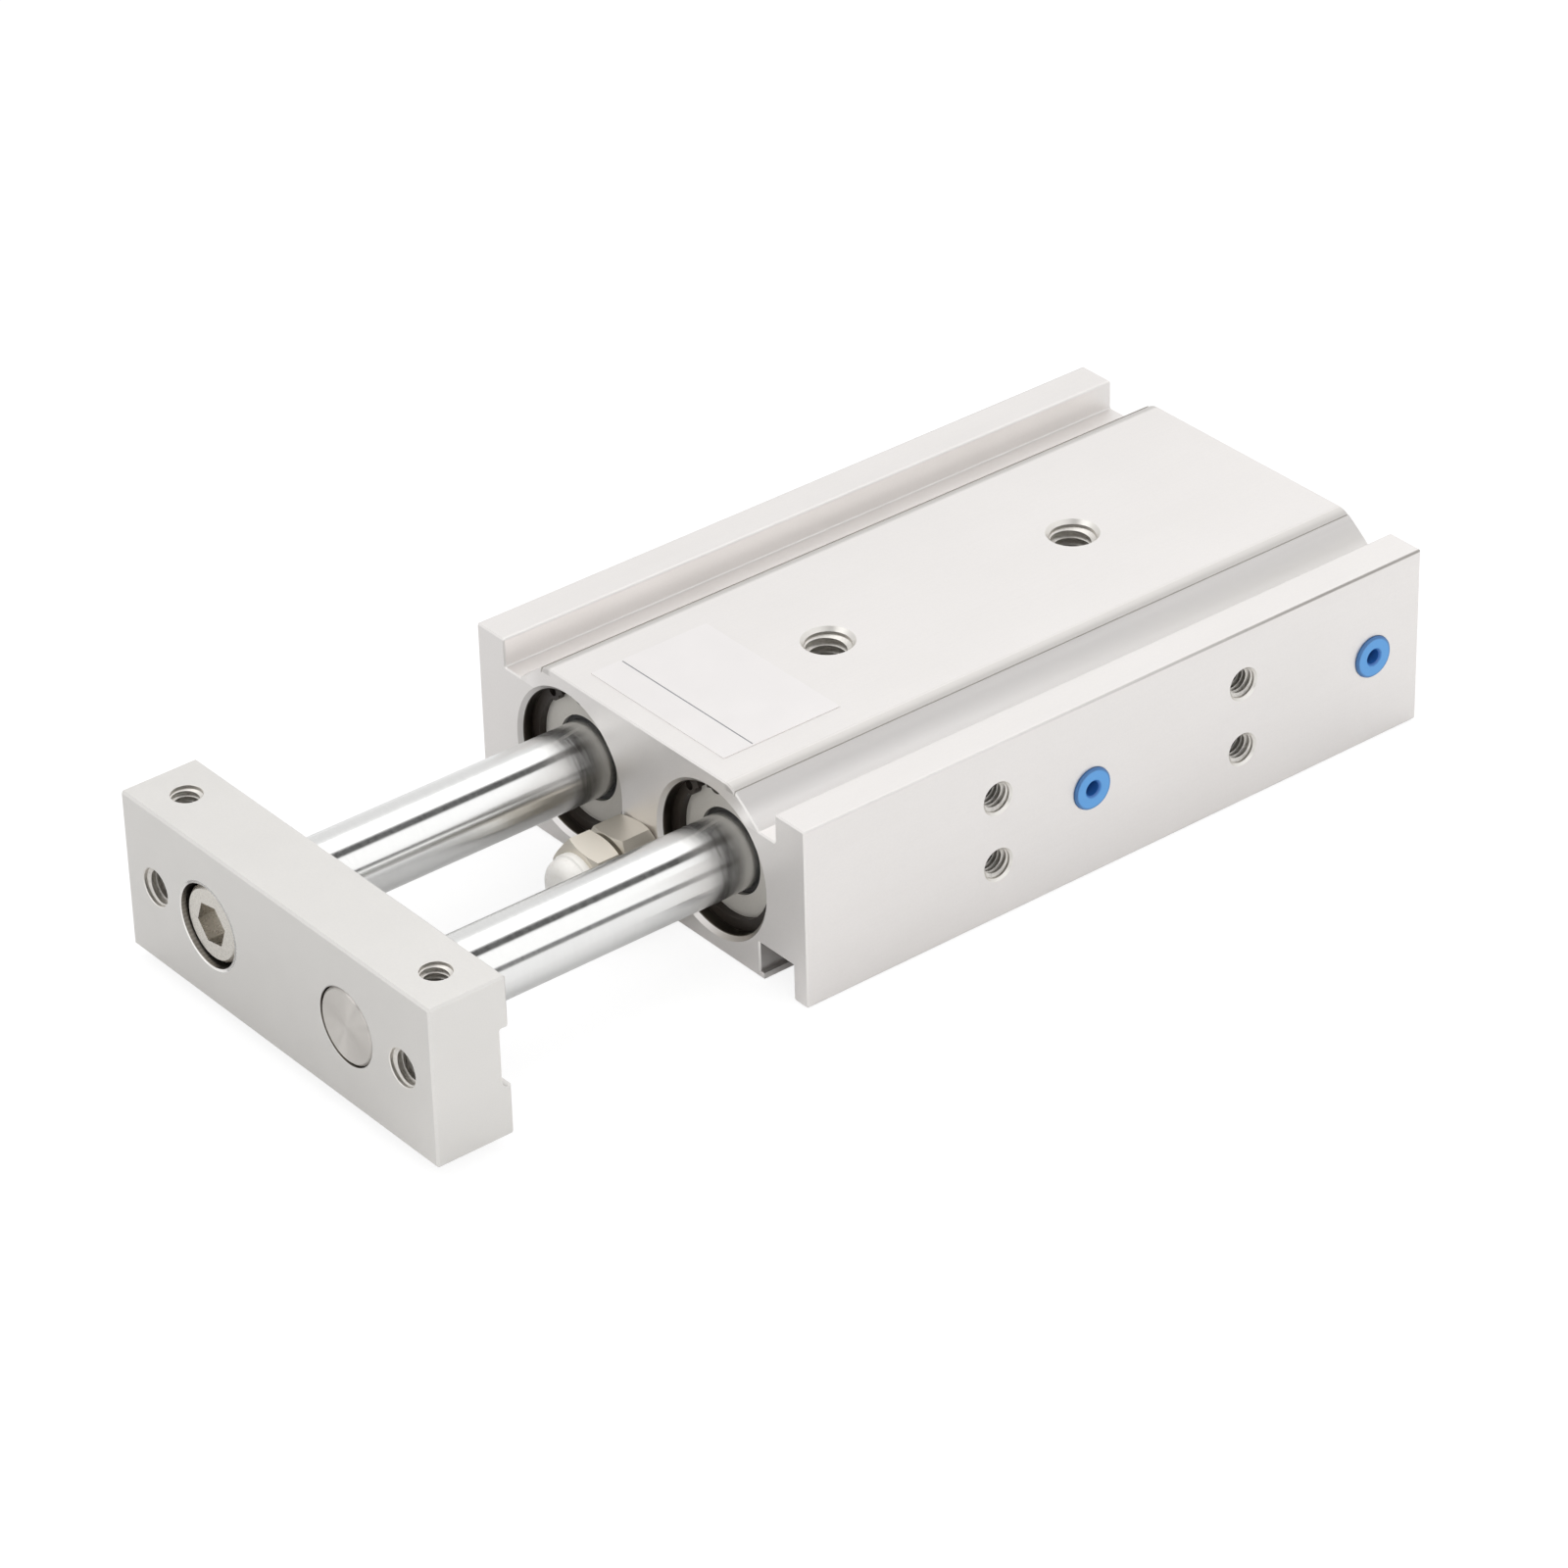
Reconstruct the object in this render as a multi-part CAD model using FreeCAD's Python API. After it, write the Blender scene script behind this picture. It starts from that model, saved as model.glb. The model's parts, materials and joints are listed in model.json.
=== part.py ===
# Guided pneumatic cylinder: two parallel pistons and rods in one flat extruded housing,
# joined in front by an end plate. 20 mm bores, 30 mm stroke, drawn fully extended.
# Millimetres. +X runs along the rods to the end plate, +Y to the ported side, +Z up.
# The origin lies on the mounting face, midway between the two vertical mounting holes.
import FreeCAD, Part
import math
import os

from FreeCAD import Placement, Rotation, Vector

# Bores, rods and stroke
BORE_DIAMETER = 20.0
ROD_DIAMETER = 10.0
STROKE = 30.0
RETRACTED_GAP = 13.0  # housing face to end plate with the rods fully in
OVERRUN = 1.0  # how far a cutter runs past the face it opens

# Housing block, given by its walls round the bores
HOUSING_LENGTH = 100.0
BORE_WEB = 8.0  # between the two bores
BORE_WALL = 2.5  # above and below a bore
SIDE_WALL = 8.0  # from a bore to the side face
BORE_MOUTH_CHAMFER = 0.6
RAIL_EDGE_ROUND = 0.3
FOOT_EDGE_ROUND = 0.5
END_EDGE_CHAMFER = 0.2

# Grooves along the top, one on each side of the raised middle
TOP_RAIL_WIDTH = 5.5
TOP_GROOVE_WIDTH = 7.7
TOP_GROOVE_FLOOR = 3.1
TOP_GROOVE_DEPTH = 4.0
SHOULDER_BULGE = 0.1
PLATEAU_ROLL = 1.5  # width of the rounded edge of the raised middle
PLATEAU_FALL = 0.55
PLATEAU_BULGE = 0.1
SEAM_WIDTH = 0.2  # fine line between the raised middle and the groove
SEAM_DEPTH = 0.25
GROOVE_CORNER_ROUND = 0.25

# Sensor slots along the bottom, each with a small retaining lip on its inner wall
FOOT_WIDTH = 2.7
SLOT_WIDTH = 6.4
SLOT_DEPTH = 5.0
SLOT_LIP = 0.6
SLOT_LIP_HEIGHT = 0.8

# Threads, given by their major diameters
M4 = 4.0
M5 = 5.0
M6 = 6.0
THREAD_FIT = 0.05  # radial, between a screw and its tapped hole
THREAD_END_CHAMFER = 0.5
DRILL_POINT_ANGLE = 118.0

# Mounting holes of the housing
MOUNT_PITCH = 40.0  # along the housing, for the vertical and the side holes
TOP_THREAD_DEPTH = 10.0
TOP_THREAD_CHAMFER = 0.5
THROUGH_DIAMETER = 5.2
COUNTERBORE_DIAMETER = 9.5
COUNTERBORE_DEPTH = 5.3
SIDE_HOLE_PITCH = 9.5  # vertical
SIDE_THREAD_DEPTH = 6.5
SIDE_THREAD_CHAMFER = 0.3

# Air ports
REAR_PORT_SETBACK = 8.0  # port centre to the rear face
PORT_CHAMFER = 0.4
CROSS_PASSAGE_DIAMETER = 2.5

# Retaining rings, the same at both ends of the bores
FRONT_RING_INSET = 2.0
REAR_RING_INSET = 1.4
RING_THICKNESS = 1.0
RING_WIDTH = 1.9
RING_GROOVE_DEPTH = 0.5
RING_GROOVE_PLAY = 0.1
RING_GAP_ANGLE = 12.0
LUG_RADIUS = 1.2
LUG_INSET = 0.5  # how far a lug's circle reaches into the ring's width
LUG_HOLE_DIAMETER = 1.3
LUG_ANGLE = 18.0  # lug centre from the middle of the gap
FRONT_RING_TURN = {"left": 108.0, "right": 116.0}
REAR_RING_TURN = {"left": 90.0, "right": 90.0}

# Rod covers, seals and head covers
SEATED_FIT = 0.02  # radial, between pieces that stay put
ROD_FIT = 0.03  # radial running clearance of a rod in its cover
PISTON_FIT = 0.05  # radial running clearance of a piston in its bore
STOP_CLEARANCE = 0.3  # left between stops that meet in use
RETAINER_THICKNESS = 2.0
RETAINER_ROD_GAP = 0.7
SEAL_LENGTH = 4.0
SEAL_WIDTH = 2.5
SEAL_LIP_DEPTH = 1.8
SEAL_INNER_LIP = 0.6
SEAL_OUTER_LIP = 0.7
WIPER_LENGTH = 1.6
WIPER_WALL = 0.5
WIPER_TAPER = 0.1
COVER_NOSE_LENGTH = 7.5
NOSE_CHANNEL = 3.0  # radial air space round a nose
HEAD_COVER_THICKNESS = 3.0
HEAD_NOSE_LENGTH = 4.5
HEAD_RECESS_DEPTH = 0.8
HEAD_RIM_WIDTH = 2.6
O_RING_GROOVE_DEPTH = 1.3
O_RING_GROOVE_WIDTH = 1.7
COVER_GROOVE_SETBACK = 8.0  # front face of a rod cover to its O-ring groove

# Pistons
PISTON_LENGTH = 8.0
PISTON_SPIGOT_DIAMETER = 6.0
SEAL_GROOVE_WIDTH = 3.0
SEAL_GROOVE_DEPTH = 1.9
MAGNET_WIDTH = 2.4
MAGNET_DEPTH = 1.5
MAGNET_INSET = 0.1
PISTON_LIP_LAND = 0.5
PISTON_LIP_VALLEY = 0.6
BUMPER_THICKNESS = 2.0
BUMPER_SETBACK = 0.5  # rear bumper edge inside the nose it sits on
BUMPER_OVERHANG = 1.0  # front bumper edge outside the nose it strikes
BUMPER_STUD_DIAMETER = 4.0
BUMPER_STUD_LENGTH = 1.5

# Stroke adjusting bolt under the rods
BOLT_DROP = 6.3  # below the bore axes
BOLT_HOLE_DEPTH = 17.0
BOLT_ENGAGEMENT = 15.0
HEX_ACROSS_FLATS = 10.0
HEX_CHAMFER = 0.45
HEX_FACE_INSET = 0.05  # turned face inside the flats
NUT_THICKNESS = 5.0
NUT_TO_HEAD = 0.6
BOLT_HEAD_HEIGHT = 4.0
NUT_TURN = 5.0
HEAD_TURN = 52.0
CAP_DIAMETER = 8.4
CAP_COLLAR = 1.1
CAP_COLLAR_CHAMFER = 0.15
CAP_NECK_DEPTH = 0.25
CAP_TIP_ROUND = 1.7
CAP_TIP_STEP = 0.3
CAP_STEM_DIAMETER = 3.0
CAP_STEM_LENGTH = 2.3

# End plate
PLATE_THICKNESS = 11.0
PLATE_SIDE_SETBACK = 1.0
PLATE_TOP_SETBACK = 1.5
PLATE_EDGE_CHAMFER = 0.3
CHANNEL_HEIGHT = 8.3
CHANNEL_DEPTH = 1.4
CHANNEL_TOP_ROUND = 0.3
CHANNEL_BOTTOM_ROUND = 1.1
PLATE_HOLE_PITCH = 50.0
PLATE_FRONT_CHAMFER = 0.1
PLATE_TOP_CHAMFER = 0.05
PLATE_TOP_THREAD_DEPTH = 6.0
ROD_POCKET_DEPTH = 2.4
PLATE_ROD_GAP = 0.12
ROD_END_CHAMFER = 0.3

# Cap screw and set screw in the end plate
SCREW_HEAD_DIAMETER = 10.0
SCREW_HEAD_HEIGHT = 6.0
SCREW_HEAD_SINK = 0.5
SCREW_HEAD_GAP = 0.5
SCREW_HEAD_CHAMFER = 0.4
SCREW_CLEARANCE = 0.3
SCREW_SOCKET = 5.0
SCREW_SOCKET_DEPTH = 3.0
SCREW_TURN = 10.0
SCREW_ENGAGEMENT = 10.0
ROD_TAP_DEPTH = 13.0
SET_SCREW_SINK = 0.8
SET_SCREW_SOCKET = 2.5
SET_SCREW_SOCKET_DEPTH = 2.2

# Port plugs and label
PLUG_RIM = 0.35  # plug head beyond the port radius
PLUG_STAND_OUT = 0.4
PLUG_EDGE_CHAMFER = 0.2
PLUG_STEM_LENGTH = 4.5
PLUG_STEM_CHAMFER = 0.6
PLUG_HOLE_DIAMETER = 2.0
PLUG_HOLE_FLARE = 0.3
PLUG_HOLE_DEPTH = 2.2
LABEL_LENGTH = 18.0
LABEL_WIDTH = 26.0
LABEL_THICKNESS = 0.1
LABEL_SETBACK = 3.2

# Derived places
BORE_R = BORE_DIAMETER / 2
ROD_R = ROD_DIAMETER / 2
HOUSING_HEIGHT = BORE_DIAMETER + 2 * BORE_WALL
ROD_PITCH = BORE_DIAMETER + BORE_WEB
HOUSING_WIDTH = ROD_PITCH + BORE_DIAMETER + 2 * SIDE_WALL
HALF_WIDTH = HOUSING_WIDTH / 2
AXIS_Z = HOUSING_HEIGHT / 2
SIDES = {"left": -1, "right": 1}

FRONT_X = HOUSING_LENGTH / 2
REAR_X = -HOUSING_LENGTH / 2
RETAINER_X = FRONT_X - FRONT_RING_INSET - RING_THICKNESS
COVER_X = RETAINER_X - RETAINER_THICKNESS
HEAD_REAR_X = REAR_X + REAR_RING_INSET + RING_THICKNESS
HEAD_FLANGE_X = HEAD_REAR_X + HEAD_COVER_THICKNESS
HEAD_NOSE_X = HEAD_FLANGE_X + HEAD_NOSE_LENGTH
REAR_BUMPER_X = HEAD_NOSE_X + BUMPER_THICKNESS
PISTON_REAR_X = REAR_BUMPER_X + STOP_CLEARANCE + STROKE
PISTON_FRONT_X = PISTON_REAR_X + PISTON_LENGTH
COVER_NOSE_X = PISTON_FRONT_X + BUMPER_THICKNESS + STOP_CLEARANCE
FRONT_PORT_X = COVER_NOSE_X + M5 / 2
REAR_PORT_X = REAR_X + REAR_PORT_SETBACK

PLATE_BACK_X = FRONT_X + RETRACTED_GAP + STROKE
PLATE_FRONT_X = PLATE_BACK_X + PLATE_THICKNESS
PLATE_MID_X = (PLATE_BACK_X + PLATE_FRONT_X) / 2
PLATE_HALF_WIDTH = HALF_WIDTH - PLATE_SIDE_SETBACK
PLATE_TOP_Z = HOUSING_HEIGHT - PLATE_TOP_SETBACK
PLATE_BOTTOM_Z = PLATE_TOP_SETBACK

BOLT_Z = AXIS_Z - BOLT_DROP
NUT_FRONT_X = FRONT_X + NUT_THICKNESS
HEAD_BACK_X = NUT_FRONT_X + NUT_TO_HEAD
HEAD_FRONT_X = HEAD_BACK_X + BOLT_HEAD_HEIGHT
CAP_TIP_X = FRONT_X + RETRACTED_GAP - STOP_CLEARANCE

COVER_R = BORE_R - SEATED_FIT
NOSE_R = BORE_R - NOSE_CHANNEL
SEAL_R = ROD_R + ROD_FIT + SEAL_WIDTH
SPIGOT_R = PISTON_SPIGOT_DIAMETER / 2


def turned(points):
    """Solid of revolution about the X axis from (x, radius) points."""
    loop = [Vector(x, radius, 0) for x, radius in points]
    face = Part.Face(Part.makePolygon(loop + loop[:1]))
    return face.revolve(Vector(0, 0, 0), Vector(1, 0, 0), 360)


def sleeve(x0, x1, outer, inner):
    """Plain tube along X."""
    return turned([(x0, inner), (x0, outer), (x1, outer), (x1, inner)])


def rod(x0, x1, radius):
    """Plain round bar along X."""
    return Part.makeCylinder(radius, x1 - x0, Vector(x0, 0, 0), Vector(1, 0, 0))


def moved(shape, x=0.0, y=0.0, z=0.0):
    """Copy of a shape moved by x, y, z."""
    copy = shape.copy()
    copy.translate(Vector(x, y, z))
    return copy


def aimed(shape, origin, direction):
    """Copy of a shape drawn along +X from the origin, put at a point and turned to a direction."""
    copy = shape.copy()
    copy.Placement = Placement(Vector(*origin), Rotation(Vector(1, 0, 0), Vector(*direction)))
    return copy


def at_bores(shape):
    """The same shape on the left and the right bore axis."""
    return {side: moved(shape, y=sign * ROD_PITCH / 2, z=AXIS_Z) for side, sign in SIDES.items()}


def tapped_hole(diameter, depth, chamfer):
    """Cutter for a blind tapped hole from X = 0 inwards along +X, with a drill point."""
    radius = diameter / 2
    point = radius / math.tan(math.radians(DRILL_POINT_ANGLE / 2))
    return turned([
        (-OVERRUN, 0), (-OVERRUN, radius + chamfer), (0, radius + chamfer), (chamfer, radius),
        (depth, radius), (depth + point, 0),
    ])


def through_hole(diameter, length, chamfer):
    """Cutter for a hole from X = 0 to length along +X, with a chamfer at both mouths."""
    radius = diameter / 2
    wide = radius + chamfer
    return turned([
        (-OVERRUN, 0), (-OVERRUN, wide), (0, wide), (chamfer, radius),
        (length - chamfer, radius), (length, wide), (length + OVERRUN, wide), (length + OVERRUN, 0),
    ])


def hexagon(x0, x1, across_flats, turn=0.0):
    """Hexagonal prism along X; turn is the angle of its first corner from +Y, in degrees."""
    radius = across_flats / math.sqrt(3)
    angles = [math.radians(turn + 60 * step) for step in range(7)]
    loop = [Vector(x0, radius * math.cos(angle), radius * math.sin(angle)) for angle in angles]
    return Part.Face(Part.makePolygon(loop)).extrude(Vector(x1 - x0, 0, 0))


def chamfered_hexagon(x0, x1, turn):
    """Nut or bolt head blank: a hexagon whose corners are turned off at both faces."""
    corner = HEX_ACROSS_FLATS / math.sqrt(3)
    face = HEX_ACROSS_FLATS / 2 - HEX_FACE_INSET
    run = corner - face + HEX_FACE_INSET
    rise = HEX_CHAMFER * run / (corner - face)
    cone = turned([
        (x0, 0), (x0, face), (x0 + rise, face + run), (x1 - rise, face + run), (x1, face), (x1, 0),
    ])
    return hexagon(x0, x1, HEX_ACROSS_FLATS, turn).common(cone)


def rounded_loop(corners):
    """Closed face in the YZ plane. A corner is (y, z, radius, bulge to the next corner)."""
    count = len(corners)
    points = [Vector(0, y, z) for y, z, _, _ in corners]
    starts = []
    ends = []
    arcs = []
    for index, (_, _, radius, _) in enumerate(corners):
        here = points[index]
        before = (points[index - 1] - here).normalize()
        after = (points[(index + 1) % count] - here).normalize()
        half = before.getAngle(after) / 2
        cut = radius / math.tan(half) if radius else 0.0
        ends.append(here + before * cut)
        starts.append(here + after * cut)
        if radius:
            middle = (before + after).normalize()
            reach = radius / math.sin(half) - radius
            arcs.append(Part.Arc(ends[-1], here + middle * reach, starts[-1]).toShape())
        else:
            arcs.append(None)
    edges = []
    for index, (_, _, _, bulge) in enumerate(corners):
        following = (index + 1) % count
        start = starts[index]
        end = ends[following]
        if bulge:
            along = (end - start).normalize()
            outward = Vector(0, along.z, -along.y)
            middle = (start + end) * 0.5 + outward * bulge
            edges.append(Part.Arc(start, middle, end).toShape())
        else:
            edges.append(Part.LineSegment(start, end).toShape())
        if arcs[following]:
            edges.append(arcs[following])
    return Part.Face(Part.Wire(Part.__sortEdges__(edges)))


def housing_half_profile():
    """Right half of the extruded section, anticlockwise from the middle of the bottom."""
    slot_outer = HALF_WIDTH - FOOT_WIDTH
    slot_inner = slot_outer - SLOT_WIDTH
    lip = slot_inner + SLOT_LIP
    rail = HALF_WIDTH - TOP_RAIL_WIDTH
    floor_z = HOUSING_HEIGHT - TOP_GROOVE_DEPTH
    edge = rail - TOP_GROOVE_WIDTH
    edge_z = HOUSING_HEIGHT - PLATEAU_FALL
    return rounded_loop([
        (0, 0, 0, 0),
        (lip, 0, 0, 0),
        (lip, SLOT_LIP_HEIGHT, 0, 0),
        (slot_inner, SLOT_LIP_HEIGHT, 0, 0),
        (slot_inner, SLOT_DEPTH, 0, 0),
        (slot_outer, SLOT_DEPTH, 0, 0),
        (slot_outer, 0, FOOT_EDGE_ROUND, 0),
        (HALF_WIDTH, 0, FOOT_EDGE_ROUND, 0),
        (HALF_WIDTH, HOUSING_HEIGHT, RAIL_EDGE_ROUND, 0),
        (rail, HOUSING_HEIGHT, RAIL_EDGE_ROUND, 0),
        (rail, floor_z, GROOVE_CORNER_ROUND, 0),
        (rail - TOP_GROOVE_FLOOR, floor_z, 0, SHOULDER_BULGE),
        (edge + SEAM_WIDTH, edge_z, 0, 0),
        (edge + SEAM_WIDTH / 2, edge_z - SEAM_DEPTH, 0, 0),
        (edge, edge_z, 0, PLATEAU_BULGE),
        (edge - PLATEAU_ROLL, HOUSING_HEIGHT, 0, 0),
        (0, HOUSING_HEIGHT, 0, 0),
    ])


def housing_blank():
    """Extruded block with its end edges broken."""
    half = moved(housing_half_profile().extrude(Vector(HOUSING_LENGTH, 0, 0)), x=REAR_X)
    other = half.mirror(Vector(0, 0, 0), Vector(0, 1, 0))
    block = half.fuse(other).removeSplitter()
    rims = [
        edge for edge in block.Edges
        if abs(edge.BoundBox.XLength) < 1e-6 and abs(abs(edge.BoundBox.XMin) - FRONT_X) < 1e-6
    ]
    return block.makeChamfer(END_EDGE_CHAMFER, rims)


def bore_cutter():
    """Cutter for one cylinder bore with its mouth chamfers and both ring grooves."""
    groove = BORE_R + RING_GROOVE_DEPTH
    front = FRONT_X - FRONT_RING_INSET + RING_GROOVE_PLAY / 2
    rear = REAR_X + REAR_RING_INSET - RING_GROOVE_PLAY / 2
    width = RING_THICKNESS + RING_GROOVE_PLAY
    mouth = BORE_R + BORE_MOUTH_CHAMFER
    back_end = REAR_X - OVERRUN
    front_end = FRONT_X + OVERRUN
    return turned([
        (back_end, 0), (back_end, mouth), (REAR_X, mouth), (REAR_X + BORE_MOUTH_CHAMFER, BORE_R),
        (rear, BORE_R), (rear, groove), (rear + width, groove), (rear + width, BORE_R),
        (front - width, BORE_R), (front - width, groove), (front, groove), (front, BORE_R),
        (FRONT_X - BORE_MOUTH_CHAMFER, BORE_R), (FRONT_X, mouth), (front_end, mouth), (front_end, 0),
    ])


def vertical_mount_cutter():
    """Cutter drawn along +X from the top face: tapped mouth, through hole, counterbore."""
    thread = M6 / 2
    mouth = thread + TOP_THREAD_CHAMFER
    through = THROUGH_DIAMETER / 2
    counterbore = COUNTERBORE_DIAMETER / 2
    step = HOUSING_HEIGHT - COUNTERBORE_DEPTH
    end = HOUSING_HEIGHT + OVERRUN
    return turned([
        (-OVERRUN, 0), (-OVERRUN, mouth), (0, mouth), (TOP_THREAD_CHAMFER, thread),
        (TOP_THREAD_DEPTH, thread), (TOP_THREAD_DEPTH, through),
        (step, through), (step, counterbore), (end, counterbore), (end, 0),
    ])


def port_cutters():
    """A tapped port from the right side into the bore, and a passage on to the other bore."""
    reach = SIDE_WALL + BORE_R - NOSE_R
    radius = M5 / 2
    mouth = radius + PORT_CHAMFER
    port = turned([
        (-OVERRUN, 0), (-OVERRUN, mouth), (0, mouth), (PORT_CHAMFER, radius), (reach, radius), (reach, 0),
    ])
    passage = Part.makeCylinder(CROSS_PASSAGE_DIAMETER / 2, BORE_WEB + 2 * NOSE_CHANNEL,
                                Vector(0, -BORE_WEB / 2 - NOSE_CHANNEL, 0), Vector(0, 1, 0))
    cutters = []
    for x in (FRONT_PORT_X, REAR_PORT_X):
        cutters.append(aimed(port, (x, HALF_WIDTH, AXIS_Z), (0, -1, 0)))
        cutters.append(moved(passage, x=x, z=AXIS_Z))
    return cutters


def housing():
    """The block with bores, ports, mounting holes and the hole for the adjusting bolt."""
    cutters = list(at_bores(bore_cutter()).values())
    side_hole = tapped_hole(M4, SIDE_THREAD_DEPTH, SIDE_THREAD_CHAMFER)
    for x in (-MOUNT_PITCH / 2, MOUNT_PITCH / 2):
        cutters.append(aimed(vertical_mount_cutter(), (x, 0, HOUSING_HEIGHT), (0, 0, -1)))
        for sign in SIDES.values():
            for z in (AXIS_Z - SIDE_HOLE_PITCH / 2, AXIS_Z + SIDE_HOLE_PITCH / 2):
                cutters.append(aimed(side_hole, (x, sign * HALF_WIDTH, z), (0, -sign, 0)))
    bolt_hole = tapped_hole(M6, BOLT_HOLE_DEPTH, PORT_CHAMFER)
    cutters.append(aimed(bolt_hole, (FRONT_X, 0, BOLT_Z), (-1, 0, 0)))
    cutters.extend(port_cutters())
    return housing_blank().cut(cutters)


def retaining_ring(x0, turn):
    """Internal retaining ring with two drilled lugs; turn is the angle of its gap from +Y."""
    outer = BORE_R + RING_GROOVE_DEPTH - SEATED_FIT
    inner = outer - RING_WIDTH
    lug_circle = inner + LUG_RADIUS - LUG_INSET
    ring = sleeve(x0, x0 + RING_THICKNESS, outer, inner)
    half_gap = RING_GAP_ANGLE / 2
    wedge = [Vector(x0, 0, 0)]
    for angle in (-half_gap, half_gap):
        radians = math.radians(turn + angle)
        wedge.append(Vector(x0, 2 * outer * math.cos(radians), 2 * outer * math.sin(radians)))
    gap = Part.Face(Part.makePolygon(wedge + wedge[:1])).extrude(Vector(RING_THICKNESS, 0, 0))
    ring = ring.cut(gap)
    for angle in (-LUG_ANGLE, LUG_ANGLE):
        radians = math.radians(turn + angle)
        y = lug_circle * math.cos(radians)
        z = lug_circle * math.sin(radians)
        lug = moved(rod(x0, x0 + RING_THICKNESS, LUG_RADIUS), y=y, z=z)
        drill = rod(x0 - OVERRUN, x0 + RING_THICKNESS + OVERRUN, LUG_HOLE_DIAMETER / 2)
        hole = moved(drill, y=y, z=z)
        ring = ring.fuse(lug).cut(hole)
    return ring.removeSplitter()


def seal_retainer():
    """Flat aluminium washer that the front retaining ring holds against the rod seal."""
    return sleeve(COVER_X, RETAINER_X, COVER_R, ROD_R + RETAINER_ROD_GAP)


def rod_seal():
    """Lip seal with a wiper lip reaching forward through the retainer."""
    inner = ROD_R + ROD_FIT
    outer = SEAL_R - SEATED_FIT
    wiper = inner + WIPER_WALL
    back = COVER_X - SEAL_LENGTH
    return turned([
        (back, inner), (back, inner + SEAL_INNER_LIP), (back + SEAL_LIP_DEPTH, inner + SEAL_WIDTH / 2),
        (back, SEAL_R - SEAL_OUTER_LIP), (back, outer), (COVER_X, outer),
        (COVER_X, wiper + WIPER_TAPER), (COVER_X + WIPER_LENGTH, wiper), (COVER_X + WIPER_LENGTH, inner),
    ])


def rod_cover():
    """Bearing sleeve for a rod, with a seal seat in front, an O-ring groove and a slim nose."""
    bearing = ROD_R + ROD_FIT
    groove = COVER_R - O_RING_GROOVE_DEPTH
    groove_front = COVER_X - COVER_GROOVE_SETBACK
    groove_back = groove_front - O_RING_GROOVE_WIDTH
    shoulder = COVER_NOSE_X + COVER_NOSE_LENGTH
    return turned([
        (COVER_NOSE_X, bearing), (COVER_NOSE_X, NOSE_R), (shoulder, NOSE_R), (shoulder, COVER_R),
        (groove_back, COVER_R), (groove_back, groove), (groove_front, groove), (groove_front, COVER_R),
        (COVER_X, COVER_R), (COVER_X, SEAL_R), (COVER_X - SEAL_LENGTH, SEAL_R),
        (COVER_X - SEAL_LENGTH, bearing),
    ])


def o_ring(groove_middle):
    """O-ring squeezed between its groove floor and the bore, so its section is a flattened hexagon."""
    floor = COVER_R - O_RING_GROOVE_DEPTH + SEATED_FIT
    half_height = (BORE_R - SEATED_FIT - floor) / 2
    half_width = O_RING_GROOVE_WIDTH / 2 - SEATED_FIT
    rise = half_height / math.sin(math.radians(60))
    angles = [math.radians(60 * step) for step in range(6)]
    return turned([
        (groove_middle + half_width * math.cos(angle), floor + half_height + rise * math.sin(angle))
        for angle in angles
    ])


def head_cover():
    """Rear plug of a bore: flange with an O-ring groove, slim nose with a pocket for the bumper."""
    groove = COVER_R - O_RING_GROOVE_DEPTH
    groove_back = (HEAD_REAR_X + HEAD_FLANGE_X - O_RING_GROOVE_WIDTH) / 2
    groove_front = groove_back + O_RING_GROOVE_WIDTH
    pocket = BUMPER_STUD_DIAMETER / 2 + SEATED_FIT
    pocket_x = HEAD_NOSE_X - BUMPER_STUD_LENGTH - SEATED_FIT
    recess = COVER_R - HEAD_RIM_WIDTH
    return turned([
        (HEAD_REAR_X + HEAD_RECESS_DEPTH, 0), (HEAD_REAR_X + HEAD_RECESS_DEPTH, recess),
        (HEAD_REAR_X, recess), (HEAD_REAR_X, COVER_R),
        (groove_back, COVER_R), (groove_back, groove), (groove_front, groove), (groove_front, COVER_R),
        (HEAD_FLANGE_X, COVER_R), (HEAD_FLANGE_X, NOSE_R), (HEAD_NOSE_X, NOSE_R),
        (HEAD_NOSE_X, pocket), (pocket_x, pocket), (pocket_x, 0),
    ])


def rear_bumper():
    """Soft disc on the head cover's nose, held by its stud."""
    stud = BUMPER_STUD_DIAMETER / 2
    edge = NOSE_R - BUMPER_SETBACK
    return turned([
        (HEAD_NOSE_X - BUMPER_STUD_LENGTH, 0), (HEAD_NOSE_X - BUMPER_STUD_LENGTH, stud),
        (HEAD_NOSE_X, stud), (HEAD_NOSE_X, edge), (REAR_BUMPER_X, edge), (REAR_BUMPER_X, 0),
    ])


def front_bumper():
    """Soft ring round the rod, against the front of the piston."""
    outer = NOSE_R + BUMPER_OVERHANG
    return sleeve(PISTON_FRONT_X, PISTON_FRONT_X + BUMPER_THICKNESS, outer, ROD_R + SEATED_FIT)


def piston_grooves():
    """Rear edges of the magnet groove and the seal groove, behind and in front of one land."""
    land = (PISTON_LENGTH - SEAL_GROOVE_WIDTH - MAGNET_WIDTH) / 3
    magnet_x = PISTON_REAR_X + land
    seal_x = magnet_x + MAGNET_WIDTH + land
    return magnet_x, seal_x


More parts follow.
